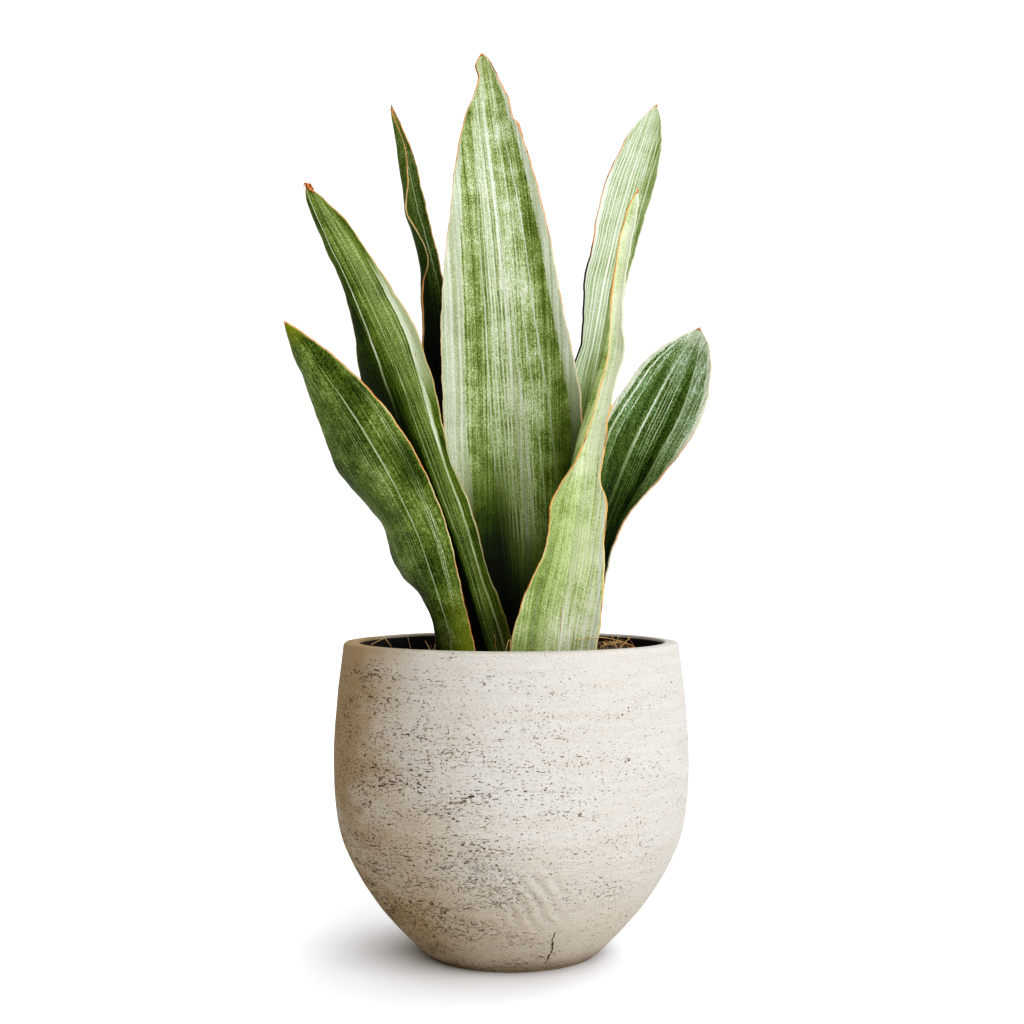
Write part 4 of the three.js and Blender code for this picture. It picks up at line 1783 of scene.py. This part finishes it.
FRONT_LEFT_SKIN = LeafSkin(
    name="front_left_skin", tone=0.37, tint=(0.88, 0.93, 0.78), silver=0.84, lines=0.22, yellow=0.8,
    halo=0.35, shift=1.3, blotch=0.8, grain=0.45, rust_left=0.5, rust_right=0.55,
    stripes=(
        Stripe(0.2, 0.026, 0.7, high=0.88), Stripe(-0.15, 0.012, 0.45, 0.3, 0.8),
        Stripe(-0.09, 0.010, 0.4, 0.3, 0.8), Stripe(-0.03, 0.010, 0.34, 0.35, 0.85),
        Stripe(0.03, 0.012, 0.4, 0.35, 0.85), Stripe(0.08, 0.010, 0.22),
        Stripe(0.64, 0.014, 0.5, 0.25, 0.72), Stripe(0.69, 0.014, 0.6, 0.25, 0.8),
        Stripe(0.75, 0.016, 0.65, 0.3, 0.84), Stripe(0.8, 0.010, 0.45, 0.4, 0.84),
        Stripe(0.7, 0.09, 0.16, 0.3, 0.75, soft=1), Stripe(0.45, 0.012, 0.35, 0.45, 0.82),
        Stripe(0.52, 0.010, 0.3, 0.45, 0.8), Stripe(-0.62, 0.016, 0.3, 0.3, 0.8),
        # The last two stripes on the next line are a painted sheen along the right margin.
        Stripe(0.93, 0.07, 0.5, 0.72, 0.93), Stripe(0.9, 0.16, 0.22, soft=1),
        Stripe(-0.1, 0.6, 0.12, soft=1, broken=0.9), Stripe(0.5, 0.9, 0.14, 0.46, 0.56, soft=1, fade=0.05),
    ),
    painted_shading=(
        Stripe(0.7, 0.45, 0.40, 0.56, 0.66, 1, fade=0.06), Stripe(0.6, 0.4, 0.3, 0.78, 0.92, 1),
        Stripe(-0.6, 0.6, 0.35, 0.54, 0.62, 1, fade=0.05), Stripe(-1.0, 0.7, 0.35, high=0.4, soft=1),
    ),
)
MID_LEFT_SKIN = LeafSkin(
    name="mid_left_skin", tone=0.34, tint=(0.94, 0.95, 0.80), silver=0.98, grain=0.35, blotch=0.5,
    halo=0.45, shift=4.1, lines=0.30, margin=0.00055, cream=paint(222, 194, 130), rust_left=0.5,
    rust_right=0.75, yellow=0.12,
    stripes=(
        Stripe(-0.35, 0.035, 0.7, 0.55), Stripe(0, 0.022, 0.36), Stripe(0.055, 0.012, 0.3, 0.55),
        Stripe(-0.06, 0.012, 0.3, 0.6), Stripe(-0.22, 0.012, 0.25), Stripe(-0.12, 0.012, 0.28),
        Stripe(0.1, 0.014, 0.3), Stripe(0.18, 0.014, 0.34), Stripe(0.22, 0.010, 0.3),
        Stripe(0.33, 0.010, 0.34), Stripe(0.27, 0.012, 0.26), Stripe(0.38, 0.014, 0.28),
        Stripe(0.44, 0.018, 0.42, 0.5, 0.85), Stripe(0.78, 0.30, 0.96, 0.61, 0.83, soft=0.22, fade=0.10),
        Stripe(0.58, 0.14, 0.75, 0.46, 0.66, soft=0.8), Stripe(-0.1, 0.5, 0.22, 0.7, soft=1, broken=0.5),
        Stripe(0.3, 0.3, 0.2, 0.66, 0.9, soft=1), Stripe(0.14, 0.010, 0.4, 0.6),
        Stripe(0.3, 0.012, 0.4, 0.6), Stripe(0.36, 0.010, 0.4, 0.6),
        Stripe(0.56, 0.08, 0.55, -0.2, 0.6, soft=0.7), Stripe(0.1, 0.9, 0.16, 0.84, soft=1),
        Stripe(0.1, 0.6, 0.14, 0.62, soft=1), Stripe(0.98, 0.05, 0.6, 0.2),
    ),
    painted_shading=(
        Stripe(-1.2, 0.95, 0.48, high=0.82, soft=0.4, fade=0.1),
        Stripe(-0.5, 0.5, 0.94, high=0.61, soft=0.6, fade=0.1),
        Stripe(-0.85, 0.80, 0.96, high=0.5, soft=0.10, fade=0.06),
        Stripe(0.5, 1.5, 0.12, high=0.24, fade=0.12), Stripe(0.85, 0.45, 0.24, 0.5, soft=0.9),
    ),
    scars=(Scar(0.74, 0.705, 0.02, 0.004), Scar(0.62, 0.665, 0.02, 0.004)),
)
CENTRE_SKIN = LeafSkin(
    name="centre_skin", tone=0.605, tint=(1.0, 1.0, 1.04), silver=0.865, cream=paint(210, 202, 172),
    yellow=0.25, halo=0.45, shift=7.7, blotch=0.75, rust_left=0.35, rust_right=0.55, lines=0.36,
    stripes=(
        Stripe(-1.16, 0.50, 0.74, 0.25, soft=0.025), Stripe(-0.05, 0.10, 0.3, 0.58, 0.95, soft=0.8),
        Stripe(-0.5, 0.012, 0.2), Stripe(-0.42, 0.010, 0.2), Stripe(-0.33, 0.016, 0.85),
        Stripe(-0.27, 0.012, 0.7), Stripe(-0.22, 0.015, 0.9), Stripe(-0.17, 0.012, 0.8),
        Stripe(-0.12, 0.018, 0.9), Stripe(-0.07, 0.012, 0.8), Stripe(0, 0.030, 1.0),
        Stripe(0.03, 0.20, 0.35, 0.16, 0.42, soft=0.8), Stripe(0.045, 0.012, 0.8),
        Stripe(0.11, 0.032, 0.7, 0.25, 0.66), Stripe(0.17, 0.010, 0.5), Stripe(0.30, 0.014, 0.55),
        Stripe(0.5, 0.018, 0.9), Stripe(0.62, 0.010, 0.35), Stripe(1.2, 0.42, 0.9, 0.2, soft=0.03),
        Stripe(-0.08, 0.32, 0.24, 0.46, soft=0.6, fade=0.12),
        Stripe(0.02, 0.26, 0.42, 0.28, 0.58, soft=0.9), Stripe(0.2, 0.34, 0.2, 0.6, soft=0.9, broken=0.8),
        Stripe(-0.3, 0.3, 0.2, 0.62, 0.98, soft=0.9), Stripe(0.3, 0.4, 0.22, 0.56, soft=1),
        Stripe(0.4, 0.35, 0.22, 0.3, soft=1, broken=1),
    ),
    painted_shading=(
        Stripe(1.05, 0.85, 0.92, high=0.40, soft=0.75, fade=0.14),
        Stripe(-0.5, 0.42, 0.86, high=0.31, soft=0.7, fade=0.11), Stripe(0, 3, 0.97, high=0.19, fade=0.09),
        Stripe(-0.9, 0.5, 0.42, 0.88, soft=1), Stripe(0.68, 0.2, 0.15, 0.3, 0.75, soft=1),
        Stripe(0.24, 0.40, -0.12, 0.6, 0.88, soft=0.9, broken=0.5),
        Stripe(0.0, 0.75, 0.40, high=0.30, fade=0.2, broken=0.4),
    ),
)
BACK_RIGHT_SKIN = LeafSkin(
    name="back_right_skin", tone=0.72, tint=(1.0, 1.0, 1.2), silver=0.97, margin=0.00026,
    cream=paint(206, 206, 192), halo=0.5, shift=10.9, lines=0.32, grain=0.25, rust_left=0.5, rust_right=0.1,
    burnt=Stripe(-1.1, 0.9, 1.0, 0.50, 0.73, soft=0.1, fade=0.03),
    stripes=(
        Stripe(-1.1, 0.34, 1.0, 0.62, 0.88, soft=0.2), Stripe(-0.72, 0.03, 1.0), Stripe(-0.6, 0.035, 1.0),
        Stripe(-0.42, 0.04, 1.0), Stripe(-0.27, 0.02, 0.8), Stripe(-0.16, 0.02, 0.85),
        Stripe(-0.02, 0.05, 0.95), Stripe(0.1, 0.02, 0.8), Stripe(0.22, 0.02, 0.8), Stripe(0.32, 0.02, 0.7),
        Stripe(0.5, 0.02, 0.7), Stripe(0.7, 0.03, 0.8), Stripe(-0.2, 0.7, 0.2, 0.5, soft=1),
        Stripe(0, 1.5, 0.22, 0.92, soft=0.3),
    ),
    painted_shading=(
        Stripe(-1.05, 0.5, 0.5, high=0.6, soft=1, fade=0.1), Stripe(0, 3, 0.55, high=0.46, fade=0.12),
        Stripe(0.1, 0.35, 0.2, high=0.56, soft=1), Stripe(0.9, 0.6, 0.18, 0.5, 0.95, soft=1),
    ),
)
FRONT_RIGHT_SKIN = LeafSkin(
    name="front_right_skin", tone=0.865, halo=0.5, shift=13.2, blotch=0.85, grain=0.36, rust_left=0.5,
    rust_right=0.4, lines=0.42, tint=(0.99, 1.0, 0.90), silver=0.93, margin=0.00032,
    bare=Stripe(1.0, 0.9, 1.0, 0.66), back_face_shade=0.20, orange=paint(212, 158, 84),
    stripes=(
        Stripe(0, 0.024, 1.0), Stripe(0.04, 0.010, 0.6), Stripe(0.09, 0.012, 0.6),
        Stripe(0.21, 0.11, 0.6, soft=0.7), Stripe(0.35, 0.018, 0.95), Stripe(0.42, 0.010, 0.6),
        Stripe(0.48, 0.014, 0.7), Stripe(0.56, 0.010, 0.6), Stripe(0.65, 0.022, 0.95),
        Stripe(0.72, 0.010, 0.6), Stripe(0.78, 0.010, 0.5), Stripe(0.9, 0.05, 0.95, soft=0.3),
        Stripe(-0.62, 0.020, 0.9, high=0.33), Stripe(-0.5, 0.010, 0.3), Stripe(-0.4, 0.012, 0.36),
        Stripe(-0.32, 0.016, 0.5), Stripe(-0.26, 0.010, 0.3), Stripe(-0.2, 0.012, 0.42),
        Stripe(-0.12, 0.012, 0.34), Stripe(-0.06, 0.010, 0.34), Stripe(0.2, 0.8, 0.15, soft=1),
        Stripe(0.3, 1.6, 0.20, 0.55, soft=0.3), Stripe(0.6, 0.5, 0.4, 0.66, soft=1),
    ),
    painted_shading=(
        Stripe(-0.6, 0.6, 0.12, high=0.24, soft=1), Stripe(-0.1, 1.2, 0.17, 0.2, 0.44, soft=0.8),
        Stripe(0.2, 0.5, -0.10, 0.08, 0.2, soft=1), Stripe(0, 3, 0.8, high=0.04, fade=0.06),
        Stripe(0.9, 0.9, -0.14, 0.5, soft=1),
        Stripe(-0.75, 0.55, 0.26, high=0.34, soft=0.8, fade=0.12, broken=1),
    ),
    scars=(
        Scar(-0.03, 0.17, 0.012, 0.035), Scar(-0.22, 0.11, 0.010, 0.03), Scar(-0.62, 0.095, 0.04, 0.022),
    ),
)
RIGHT_SKIN = LeafSkin(
    name="right_skin", tone=0.39, halo=0.5, shift=16.6, lines=0.24, silver=0.9, cream=paint(206, 204, 184),
    margin=0.00028, blotch=0.6, grain=0.55, rust_left=0.3, rust_right=0.35, tint=(0.86, 1.0, 1.4),
    stripes=(
        Stripe(-0.15, 0.05, 0.8, soft=0.8), Stripe(-0.75, 0.035, 0.9, 0.5), Stripe(-0.93, 0.07, 0.8, 0.5),
        Stripe(-0.64, 0.10, 0.25), Stripe(-0.57, 0.018, 0.6), Stripe(0.0, 0.014, 0.6),
        Stripe(0.07, 0.012, 0.5), Stripe(0.13, 0.012, 0.5), Stripe(0.2, 0.014, 0.6),
        Stripe(0.27, 0.010, 0.25), Stripe(0.5, 0.035, 0.8, 0.55, soft=0.8), Stripe(0.62, 0.016, 0.55),
        Stripe(0.7, 0.014, 0.6), Stripe(0.78, 0.014, 0.55), Stripe(0.86, 0.014, 0.6),
        Stripe(0.76, 0.27, 0.36, soft=0.2), Stripe(1.02, 0.2, 1.0, 0.3, soft=0.3),
        Stripe(0, 1.6, 0.7, 0.94, soft=0.2, fade=0.05), Stripe(-0.1, 1.2, 0.4, 0.84, soft=1),
        Stripe(-0.4, 0.012, 0.2), Stripe(-0.28, 0.012, 0.2),
    ),
    painted_shading=(
        Stripe(0.4, 3, 0.45, high=0.64, fade=0.12), Stripe(0.4, 3, 0.6, high=0.5, fade=0.1),
        Stripe(0.38, 0.16, 0.35, 0.5, 0.92, soft=0.8), Stripe(-0.38, 0.2, 0.3, 0.5, 0.9, soft=0.8),
    ),
)
BACK_LEFT_SKIN = LeafSkin(
    name="back_left_skin", tone=0.37, silver=0.8, lines=0.2, margin=0.00024, halo=0.3, shift=19.4,
    rust_left=0.45, rust_right=0.5, yellow=0.3, tint=(0.98, 1.0, 1.3),
    stripes=(
        Stripe(0, 0.06, 0.65, 0.6), Stripe(-0.4, 0.03, 0.25, 0.5), Stripe(0.3, 0.02, 0.3, 0.5),
        Stripe(0.5, 0.02, 0.3, 0.5), Stripe(-0.2, 0.02, 0.2, 0.5), Stripe(0.2, 1.4, 0.10, 0.86),
        Stripe(0.9, 0.2, 0.25, 0.7),
    ),
    painted_shading=(Stripe(0, 3, 0.97, high=0.66, fade=0.10), Stripe(-1.2, 1.2, 0.45, high=0.8, soft=0.6)),
)
LEAVES = (
    LeafBlade(
        node="leaf_front_left", skin=FRONT_LEFT_SKIN, seed=3, lanes=(-0.15, 0.2, 0.7),
        midrib=(
            (0.136, -0.023, -0.027), (0.17, -0.0295, -0.03), (0.201, -0.04, -0.036),
            (0.235, -0.0535, -0.042), (0.269, -0.072, -0.049), (0.308, -0.0955, -0.059),
            (0.345, -0.1185, -0.07),
        ),
        left=(
            (0.136, 0.009), (0.17, 0.017), (0.189, 0.013), (0.203, 0.018), (0.213, 0.026), (0.228, 0.027),
            (0.243, 0.023), (0.255, 0.028), (0.27, 0.0325), (0.288, 0.0265), (0.308, 0.019),
            (0.328, 0.0115), (0.345, 0.0008),
        ),
        right=(
            (0.136, 0.008), (0.17, 0.0105), (0.201, 0.0145), (0.235, 0.0205), (0.269, 0.025),
            (0.288, 0.024), (0.308, 0.019), (0.328, 0.0105), (0.345, 0.0008),
        ),
        lay=((0.136, -25, -20, -20), (0.235, -28, -20, -16), (0.3, -27, -14, -12), (0.345, -25, -25, -25)),
        veins=(
            (0, -0.40, -0.20, 0.45), (0.17, -0.36, -0.11, 0.50), (0.22, -0.30, -0.02, 0.53),
            (0.3, -0.24, 0.06, 0.57), (0.4, -0.19, 0.13, 0.63), (0.5, -0.16, 0.18, 0.66),
            (0.6, -0.14, 0.22, 0.71), (0.7, -0.12, 0.25, 0.77), (0.85, -0.10, 0.26, 0.79),
            (1, -0.10, 0.28, 0.8),
        ),
    ),
    LeafBlade(
        node="leaf_mid_left", skin=MID_LEFT_SKIN, seed=4, lanes=(-0.35, 0.0, 0.5),
        midrib=(
            (0.136, -0.004, -0.006), (0.169, -0.011, -0.008), (0.19, -0.016, -0.01), (0.22, -0.024, -0.012),
            (0.247, -0.033, -0.014), (0.278, -0.044, -0.017), (0.311, -0.057, -0.02),
            (0.342, -0.0715, -0.023), (0.376, -0.088, -0.027), (0.405, -0.103, -0.031),
            (0.424, -0.112, -0.034),
        ),
        left=(
            (0.136, 0.008), (0.19, 0.014), (0.247, 0.017), (0.305, 0.024), (0.323, 0.026), (0.342, 0.02),
            (0.36, 0.0135), (0.376, 0.0095), (0.395, 0.0085), (0.41, 0.008), (0.418, 0.0055),
            (0.424, 0.0008),
        ),
        right=(
            (0.136, 0.01), (0.169, 0.0155), (0.22, 0.012), (0.247, 0.014), (0.278, 0.012), (0.311, 0.0195),
            (0.328, 0.022), (0.342, 0.0225), (0.376, 0.0185), (0.395, 0.015), (0.405, 0.012),
            (0.416, 0.007), (0.424, 0.0008),
        ),
        lay=(
            (0.136, 15, -30, -25), (0.278, 15, -50, -25), (0.342, 10, -40, -22), (0.405, 10, -60, -25),
            (0.424, 10, -60, -30),
        ),
        veins=(
            (0, -0.8, 0.05, 0.45), (0.15, -0.76, 0.0, 0.35), (0.25, -0.74, -0.07, 0.25),
            (0.35, -0.72, -0.1, 0.26), (0.45, -0.66, -0.12, 0.29), (0.55, -0.5, -0.1, 0.36),
            (0.62, -0.36, -0.04, 0.43), (0.7, -0.29, 0.05, 0.57), (0.8, -0.32, 0.14, 0.67),
            (0.88, -0.3, 0.18, 0.7), (0.93, -0.22, 0.14, 0.68), (1, -0.18, 0.1, 0.65),
        ),
    ),
    LeafBlade(
        node="leaf_centre", skin=CENTRE_SKIN, seed=5, stations=300, lanes=(-0.66, 0.0, 0.5, 0.78),
        notches=((1, 0.470, 0.0014, 0.010),),
        midrib=(
            (0.136, 0.003, 0.012), (0.202, 0.0015, 0.012), (0.271, 0.0004, 0.013), (0.34, -0.0008, 0.014),
            (0.409, -0.0042, 0.013), (0.478, -0.0123, 0.011), (0.511, -0.017, 0.01),
        ),
        left=(
            (0.136, 0.0085), (0.168, 0.017), (0.202, 0.028), (0.236, 0.0345), (0.271, 0.0385),
            (0.306, 0.041), (0.34, 0.041), (0.375, 0.039), (0.409, 0.0335), (0.444, 0.0265), (0.478, 0.015),
            (0.496, 0.005), (0.504, 0.0055), (0.511, 0.0008),
        ),
        right=(
            (0.136, 0.0085), (0.168, 0.0165), (0.202, 0.0315), (0.236, 0.037), (0.271, 0.0415),
            (0.306, 0.0425), (0.34, 0.0365), (0.375, 0.0305), (0.409, 0.026), (0.444, 0.0205),
            (0.478, 0.0135), (0.5, 0.0065), (0.507, 0.004), (0.511, 0.0008),
        ),
        lay=(
            (0.136, -5, 32, 32), (0.202, -4, 26, 26), (0.306, 0, 15, 15), (0.409, 3, 10, 12),
            (0.511, 5, 20, 20),
        ),
        veins=(
            (0, -0.6, 0.45, 0.82, 0.95), (0.25, -0.62, 0.25, 0.78, 0.91), (0.3, -0.62, 0.2, 0.73, 0.88),
            (0.36, -0.64, 0.13, 0.65, 0.85), (0.4, -0.65, 0.1, 0.585, 0.83), (0.5, -0.65, 0.02, 0.5, 0.8),
            (0.6, -0.65, -0.035, 0.455, 0.78), (0.65, -0.69, -0.07, 0.44, 0.77),
            (0.7, -0.74, -0.1, 0.43, 0.76), (0.78, -0.79, -0.15, 0.41, 0.75),
            (0.85, -0.88, -0.19, 0.385, 0.76), (0.9, -1.02, -0.25, 0.35, 0.77),
            (0.96, -1.2, -0.33, 0.33, 0.79), (1, -1.3, -0.33, 0.33, 0.82),
        ),
    ),
    LeafBlade(
        node="leaf_back_right", skin=BACK_RIGHT_SKIN, seed=6, lanes=(-0.6, 0.0, 0.5),
        midrib=(
            (0.136, 0.027, 0.033), (0.201, 0.0315, 0.038), (0.273, 0.0385, 0.046), (0.345, 0.05, 0.054),
            (0.416, 0.0635, 0.062), (0.448, 0.072, 0.066), (0.476, 0.081, 0.07), (0.499, 0.0895, 0.073),
        ),
        left=(
            (0.136, 0.009), (0.201, 0.017), (0.273, 0.02), (0.309, 0.018), (0.345, 0.014), (0.363, 0.0155),
            (0.382, 0.0185), (0.416, 0.0185), (0.448, 0.018), (0.476, 0.0122), (0.499, 0.0008),
        ),
        right=(
            (0.136, 0.008), (0.201, 0.0135), (0.273, 0.0165), (0.345, 0.0145), (0.382, 0.0125),
            (0.416, 0.015), (0.448, 0.016), (0.476, 0.0125), (0.49, 0.007), (0.499, 0.0008),
        ),
        lay=(
            (0.136, 10, 25, 25), (0.273, 18, 25, 25), (0.345, 20, 25, 25), (0.448, 20, 20, 22),
            (0.499, 20, 20, 20),
        ),
        veins=(
            (0, -1.3, -0.5, 0.6), (0.5, -1.0, -0.27, 0.6), (0.6, -0.85, -0.15, 0.6),
            (0.65, -0.75, -0.12, 0.6), (0.75, -0.62, -0.06, 0.57), (0.85, -0.58, -0.02, 0.53),
            (0.95, -0.6, 0.0, 0.5), (1, -0.6, 0.0, 0.5),
        ),
    ),
    LeafBlade(
        node="leaf_front_right", skin=FRONT_RIGHT_SKIN, seed=7, lanes=(-0.62, 0.0, 0.35, 0.65, 0.9),
        midrib=(
            (0.136, 0.02, -0.036), (0.171, 0.0227, -0.035), (0.195, 0.0265, -0.034), (0.22, 0.032, -0.032),
            (0.244, 0.036, -0.03), (0.266, 0.039, -0.027), (0.286, 0.041, -0.024), (0.308, 0.047, -0.021),
            (0.336, 0.0535, -0.016), (0.365, 0.0575, -0.01), (0.399, 0.064, -0.003), (0.43, 0.072, 0.004),
        ),
        left=(
            (0.136, 0.009), (0.154, 0.0185), (0.171, 0.0255), (0.195, 0.0225), (0.22, 0.0175),
            (0.232, 0.018), (0.244, 0.0215), (0.26, 0.0195), (0.286, 0.015), (0.308, 0.013), (0.336, 0.011),
            (0.365, 0.0065), (0.399, 0.005), (0.42, 0.0035), (0.43, 0.0008),
        ),
        right=(
            (0.136, 0.009), (0.154, 0.018), (0.171, 0.0245), (0.195, 0.024), (0.22, 0.02), (0.235, 0.018),
            (0.252, 0.0165), (0.266, 0.011), (0.286, 0.014), (0.303, 0.0105), (0.32, 0.01), (0.336, 0.012),
            (0.35, 0.009), (0.365, 0.0065), (0.399, 0.0055), (0.42, 0.0035), (0.43, 0.0008),
        ),
        lay=(
            (0.136, 10, 8, 20), (0.171, 18, 4, 28), (0.22, 20, 8, 28), (0.244, 20, 22, 34),
            (0.266, 18, 48, 38), (0.286, 14, 76, 40), (0.336, 12, 84, 42), (0.365, 12, 68, 46),
            (0.399, 12, 36, 42), (0.43, 12, 22, 36),
        ),
        veins=(
            (0, -0.5, 0.2, 0.36, 0.66, 0.87), (0.12, -0.55, 0.15, 0.33, 0.66, 0.87),
            (0.2, -0.64, 0.07, 0.25, 0.67, 0.88), (0.28, -0.8, 0, 0.2, 0.67, 0.88),
            (0.35, -0.9, -0.02, 0.2, 0.66, 0.88), (0.42, -1, 0.02, 0.26, 0.68, 0.88),
            (0.46, -1, 0.08, 0.33, 0.72, 0.9), (0.5, -1, 0.24, 0.42, 0.78, 0.92),
            (0.58, -1, 0.34, 0.5, 0.82, 0.93), (0.7, -1, 0.36, 0.55, 0.85, 0.94),
            (1, -1, 0.3, 0.55, 0.85, 0.94),
        ),
    ),
    LeafBlade(
        node="leaf_right", skin=RIGHT_SKIN, seed=8, lanes=(-0.15, 0.5),
        midrib=(
            (0.136, 0.039, 0.01), (0.168, 0.041, 0.01), (0.191, 0.0445, 0.01), (0.214, 0.049, 0.011),
            (0.236, 0.056, 0.012), (0.26, 0.065, 0.013), (0.285, 0.075, 0.015), (0.309, 0.086, 0.017),
            (0.33, 0.0965, 0.019), (0.354, 0.1095, 0.022),
        ),
        left=(
            (0.136, 0.007), (0.168, 0.009), (0.214, 0.013), (0.236, 0.017), (0.26, 0.0225), (0.285, 0.0275),
            (0.309, 0.0235), (0.33, 0.018), (0.346, 0.008), (0.354, 0.0008),
        ),
        right=(
            (0.136, 0.007), (0.168, 0.0085), (0.214, 0.0075), (0.236, 0.0075), (0.248, 0.0095),
            (0.26, 0.0145), (0.285, 0.0255), (0.309, 0.0285), (0.33, 0.023), (0.346, 0.013),
            (0.354, 0.0008),
        ),
        lay=(
            (0.136, -6, 32, 24), (0.214, -14, 34, 20), (0.26, -20, 34, 12), (0.309, -22, 30, 6),
            (0.354, -22, 26, 6),
        ),
        veins=(
            (0, -0.4, 0.82), (0.4, -0.35, 0.76), (0.5, -0.3, 0.68), (0.55, -0.25, 0.64), (0.62, -0.2, 0.59),
            (0.7, -0.16, 0.54), (0.8, -0.14, 0.53), (0.92, -0.13, 0.48), (1, -0.12, 0.44),
        ),
    ),
    LeafBlade(
        node="leaf_back_left", skin=BACK_LEFT_SKIN, seed=9, lanes=(0.0,),
        midrib=(
            (0.136, -0.026, 0.046), (0.201, -0.033, 0.05), (0.273, -0.039, 0.054), (0.346, -0.046, 0.057),
            (0.382, -0.05, 0.059), (0.413, -0.056, 0.061), (0.444, -0.063, 0.064), (0.473, -0.069, 0.067),
            (0.497, -0.0735, 0.069),
        ),
        left=(
            (0.136, 0.008), (0.201, 0.012), (0.273, 0.016), (0.346, 0.018), (0.382, 0.017), (0.4, 0.014),
            (0.42, 0.016), (0.444, 0.016), (0.473, 0.01), (0.497, 0.0008),
        ),
        right=(
            (0.136, 0.008), (0.201, 0.012), (0.273, 0.014), (0.346, 0.0125), (0.413, 0.0095),
            (0.444, 0.0095), (0.473, 0.007), (0.497, 0.0008),
        ),
        lay=(
            (0.136, 30, 20, 30), (0.273, 40, 23, 38), (0.346, 42, 28, 40), (0.382, 42, 38, 40),
            (0.4, 42, 66, 40), (0.425, 42, 33, 40), (0.444, 42, 53, 40), (0.473, 42, 72, 40),
            (0.497, 40, 45, 40),
        ),
        veins=(
            (0, 0.5), (0.6, 0.66), (0.68, 0.65), (0.72, 0.6), (0.78, 0.48), (0.82, 0.36), (0.88, 0.4),
            (0.95, 0.4), (1, 0.4),
        ),
    ),
)


TIPS = (
    DryTip("leaf_mid_left", (
        Strand(((-0.1133, -0.0344, 0.4236), (-0.1130, -0.0346, 0.4250), (-0.1120, -0.0346, 0.4256),
                (-0.1111, -0.0345, 0.4254)), 0.0005),
        Strand(((-0.1102, -0.0345, 0.4255), (-0.1094, -0.0346, 0.4243), (-0.1086, -0.0346, 0.4228),
                (-0.1080, -0.0345, 0.4214)), 0.0006),
        Strand(((-0.1112, -0.0352, 0.4248), (-0.1108, -0.0354, 0.4232), (-0.1098, -0.0353, 0.4221),
                (-0.1084, -0.0350, 0.4213), (-0.1068, -0.0347, 0.4199)), 0.0006),
        Strand(((-0.1124, -0.0338, 0.4236), (-0.1116, -0.0338, 0.4247), (-0.1104, -0.0338, 0.4246),
                (-0.1092, -0.0338, 0.4232)), 0.0010),
    ), 0.4),
    DryTip("leaf_centre", (
        Strand(((-0.0169, 0.0090, 0.5092), (-0.0169, 0.0092, 0.5102), (-0.0171, 0.0093, 0.5109)), 0.0006),
        Strand(((0.0029, 0.0078, 0.4704), (0.0036, 0.0076, 0.4706), (0.0046, 0.0076, 0.4688),
                (0.0058, 0.0077, 0.4655), (0.0068, 0.0078, 0.4618)), 0.0003),
    ), 0.2),
    DryTip("leaf_right", (
        Strand(((0.1084, 0.0214, 0.3522), (0.1095, 0.0216, 0.3534), (0.1100, 0.0216, 0.3549)), 0.0005),
    ), 0.3),
    DryTip("leaf_front_right", (
        Strand(((0.0710, 0.0034, 0.4272), (0.0718, 0.0036, 0.4290), (0.0723, 0.0037, 0.4302),
                (0.0720, 0.0037, 0.4316)), 0.0005),
        Strand(((0.0548, -0.0110, 0.3708), (0.0562, -0.0112, 0.3703), (0.0580, -0.0110, 0.3694)), 0.0004),
    ), 0.1),
    DryTip("leaf_back_right", (
        Strand(((0.0884, 0.0724, 0.4974), (0.0895, 0.0725, 0.4984), (0.0901, 0.0726, 0.4989)), 0.0005),
    ), 0.5),
    DryTip("leaf_front_left", (
        Strand(((-0.1174, -0.0702, 0.3436), (-0.1182, -0.0703, 0.3446), (-0.1187, -0.0703, 0.3453)), 0.0005),
    ), 0.2),
    DryTip("leaf_back_left", (
        Strand(((-0.0726, 0.0686, 0.4949), (-0.0734, 0.0686, 0.4965), (-0.0737, 0.0686, 0.4976)), 0.0005),
    ), 0.6),
)


def main() -> None:
    """Builds the studio and the plant, piece by piece."""
    logging.basicConfig(level=logging.INFO, format="%(message)s")
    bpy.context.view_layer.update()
    Studio().build()
    planter = Planter()
    planter.build()
    soil = SoilBed(planter)
    soil.build()
    SoilCrumbs(soil, Crumb.PEAT, Peat("peat_crumb", golden_share=0.05)).build()
    husk = Peat("husk_crumb", paint(92, 60, 34), paint(150, 104, 60), paint(190, 146, 92), 0.2)
    SoilCrumbs(soil, Crumb.HUSK, husk, seed=8).build()
    CoirFibres(soil).build()
    for blade in LEAVES:
        blade.build()
    for tip in TIPS:
        tip.build()
    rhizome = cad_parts["rhizome"]
    rhizome.data.materials.clear()
    rhizome.data.materials.append(RootSkin().material())
    bpy.context.view_layer.update()


if __name__ == "__main__":
    main()
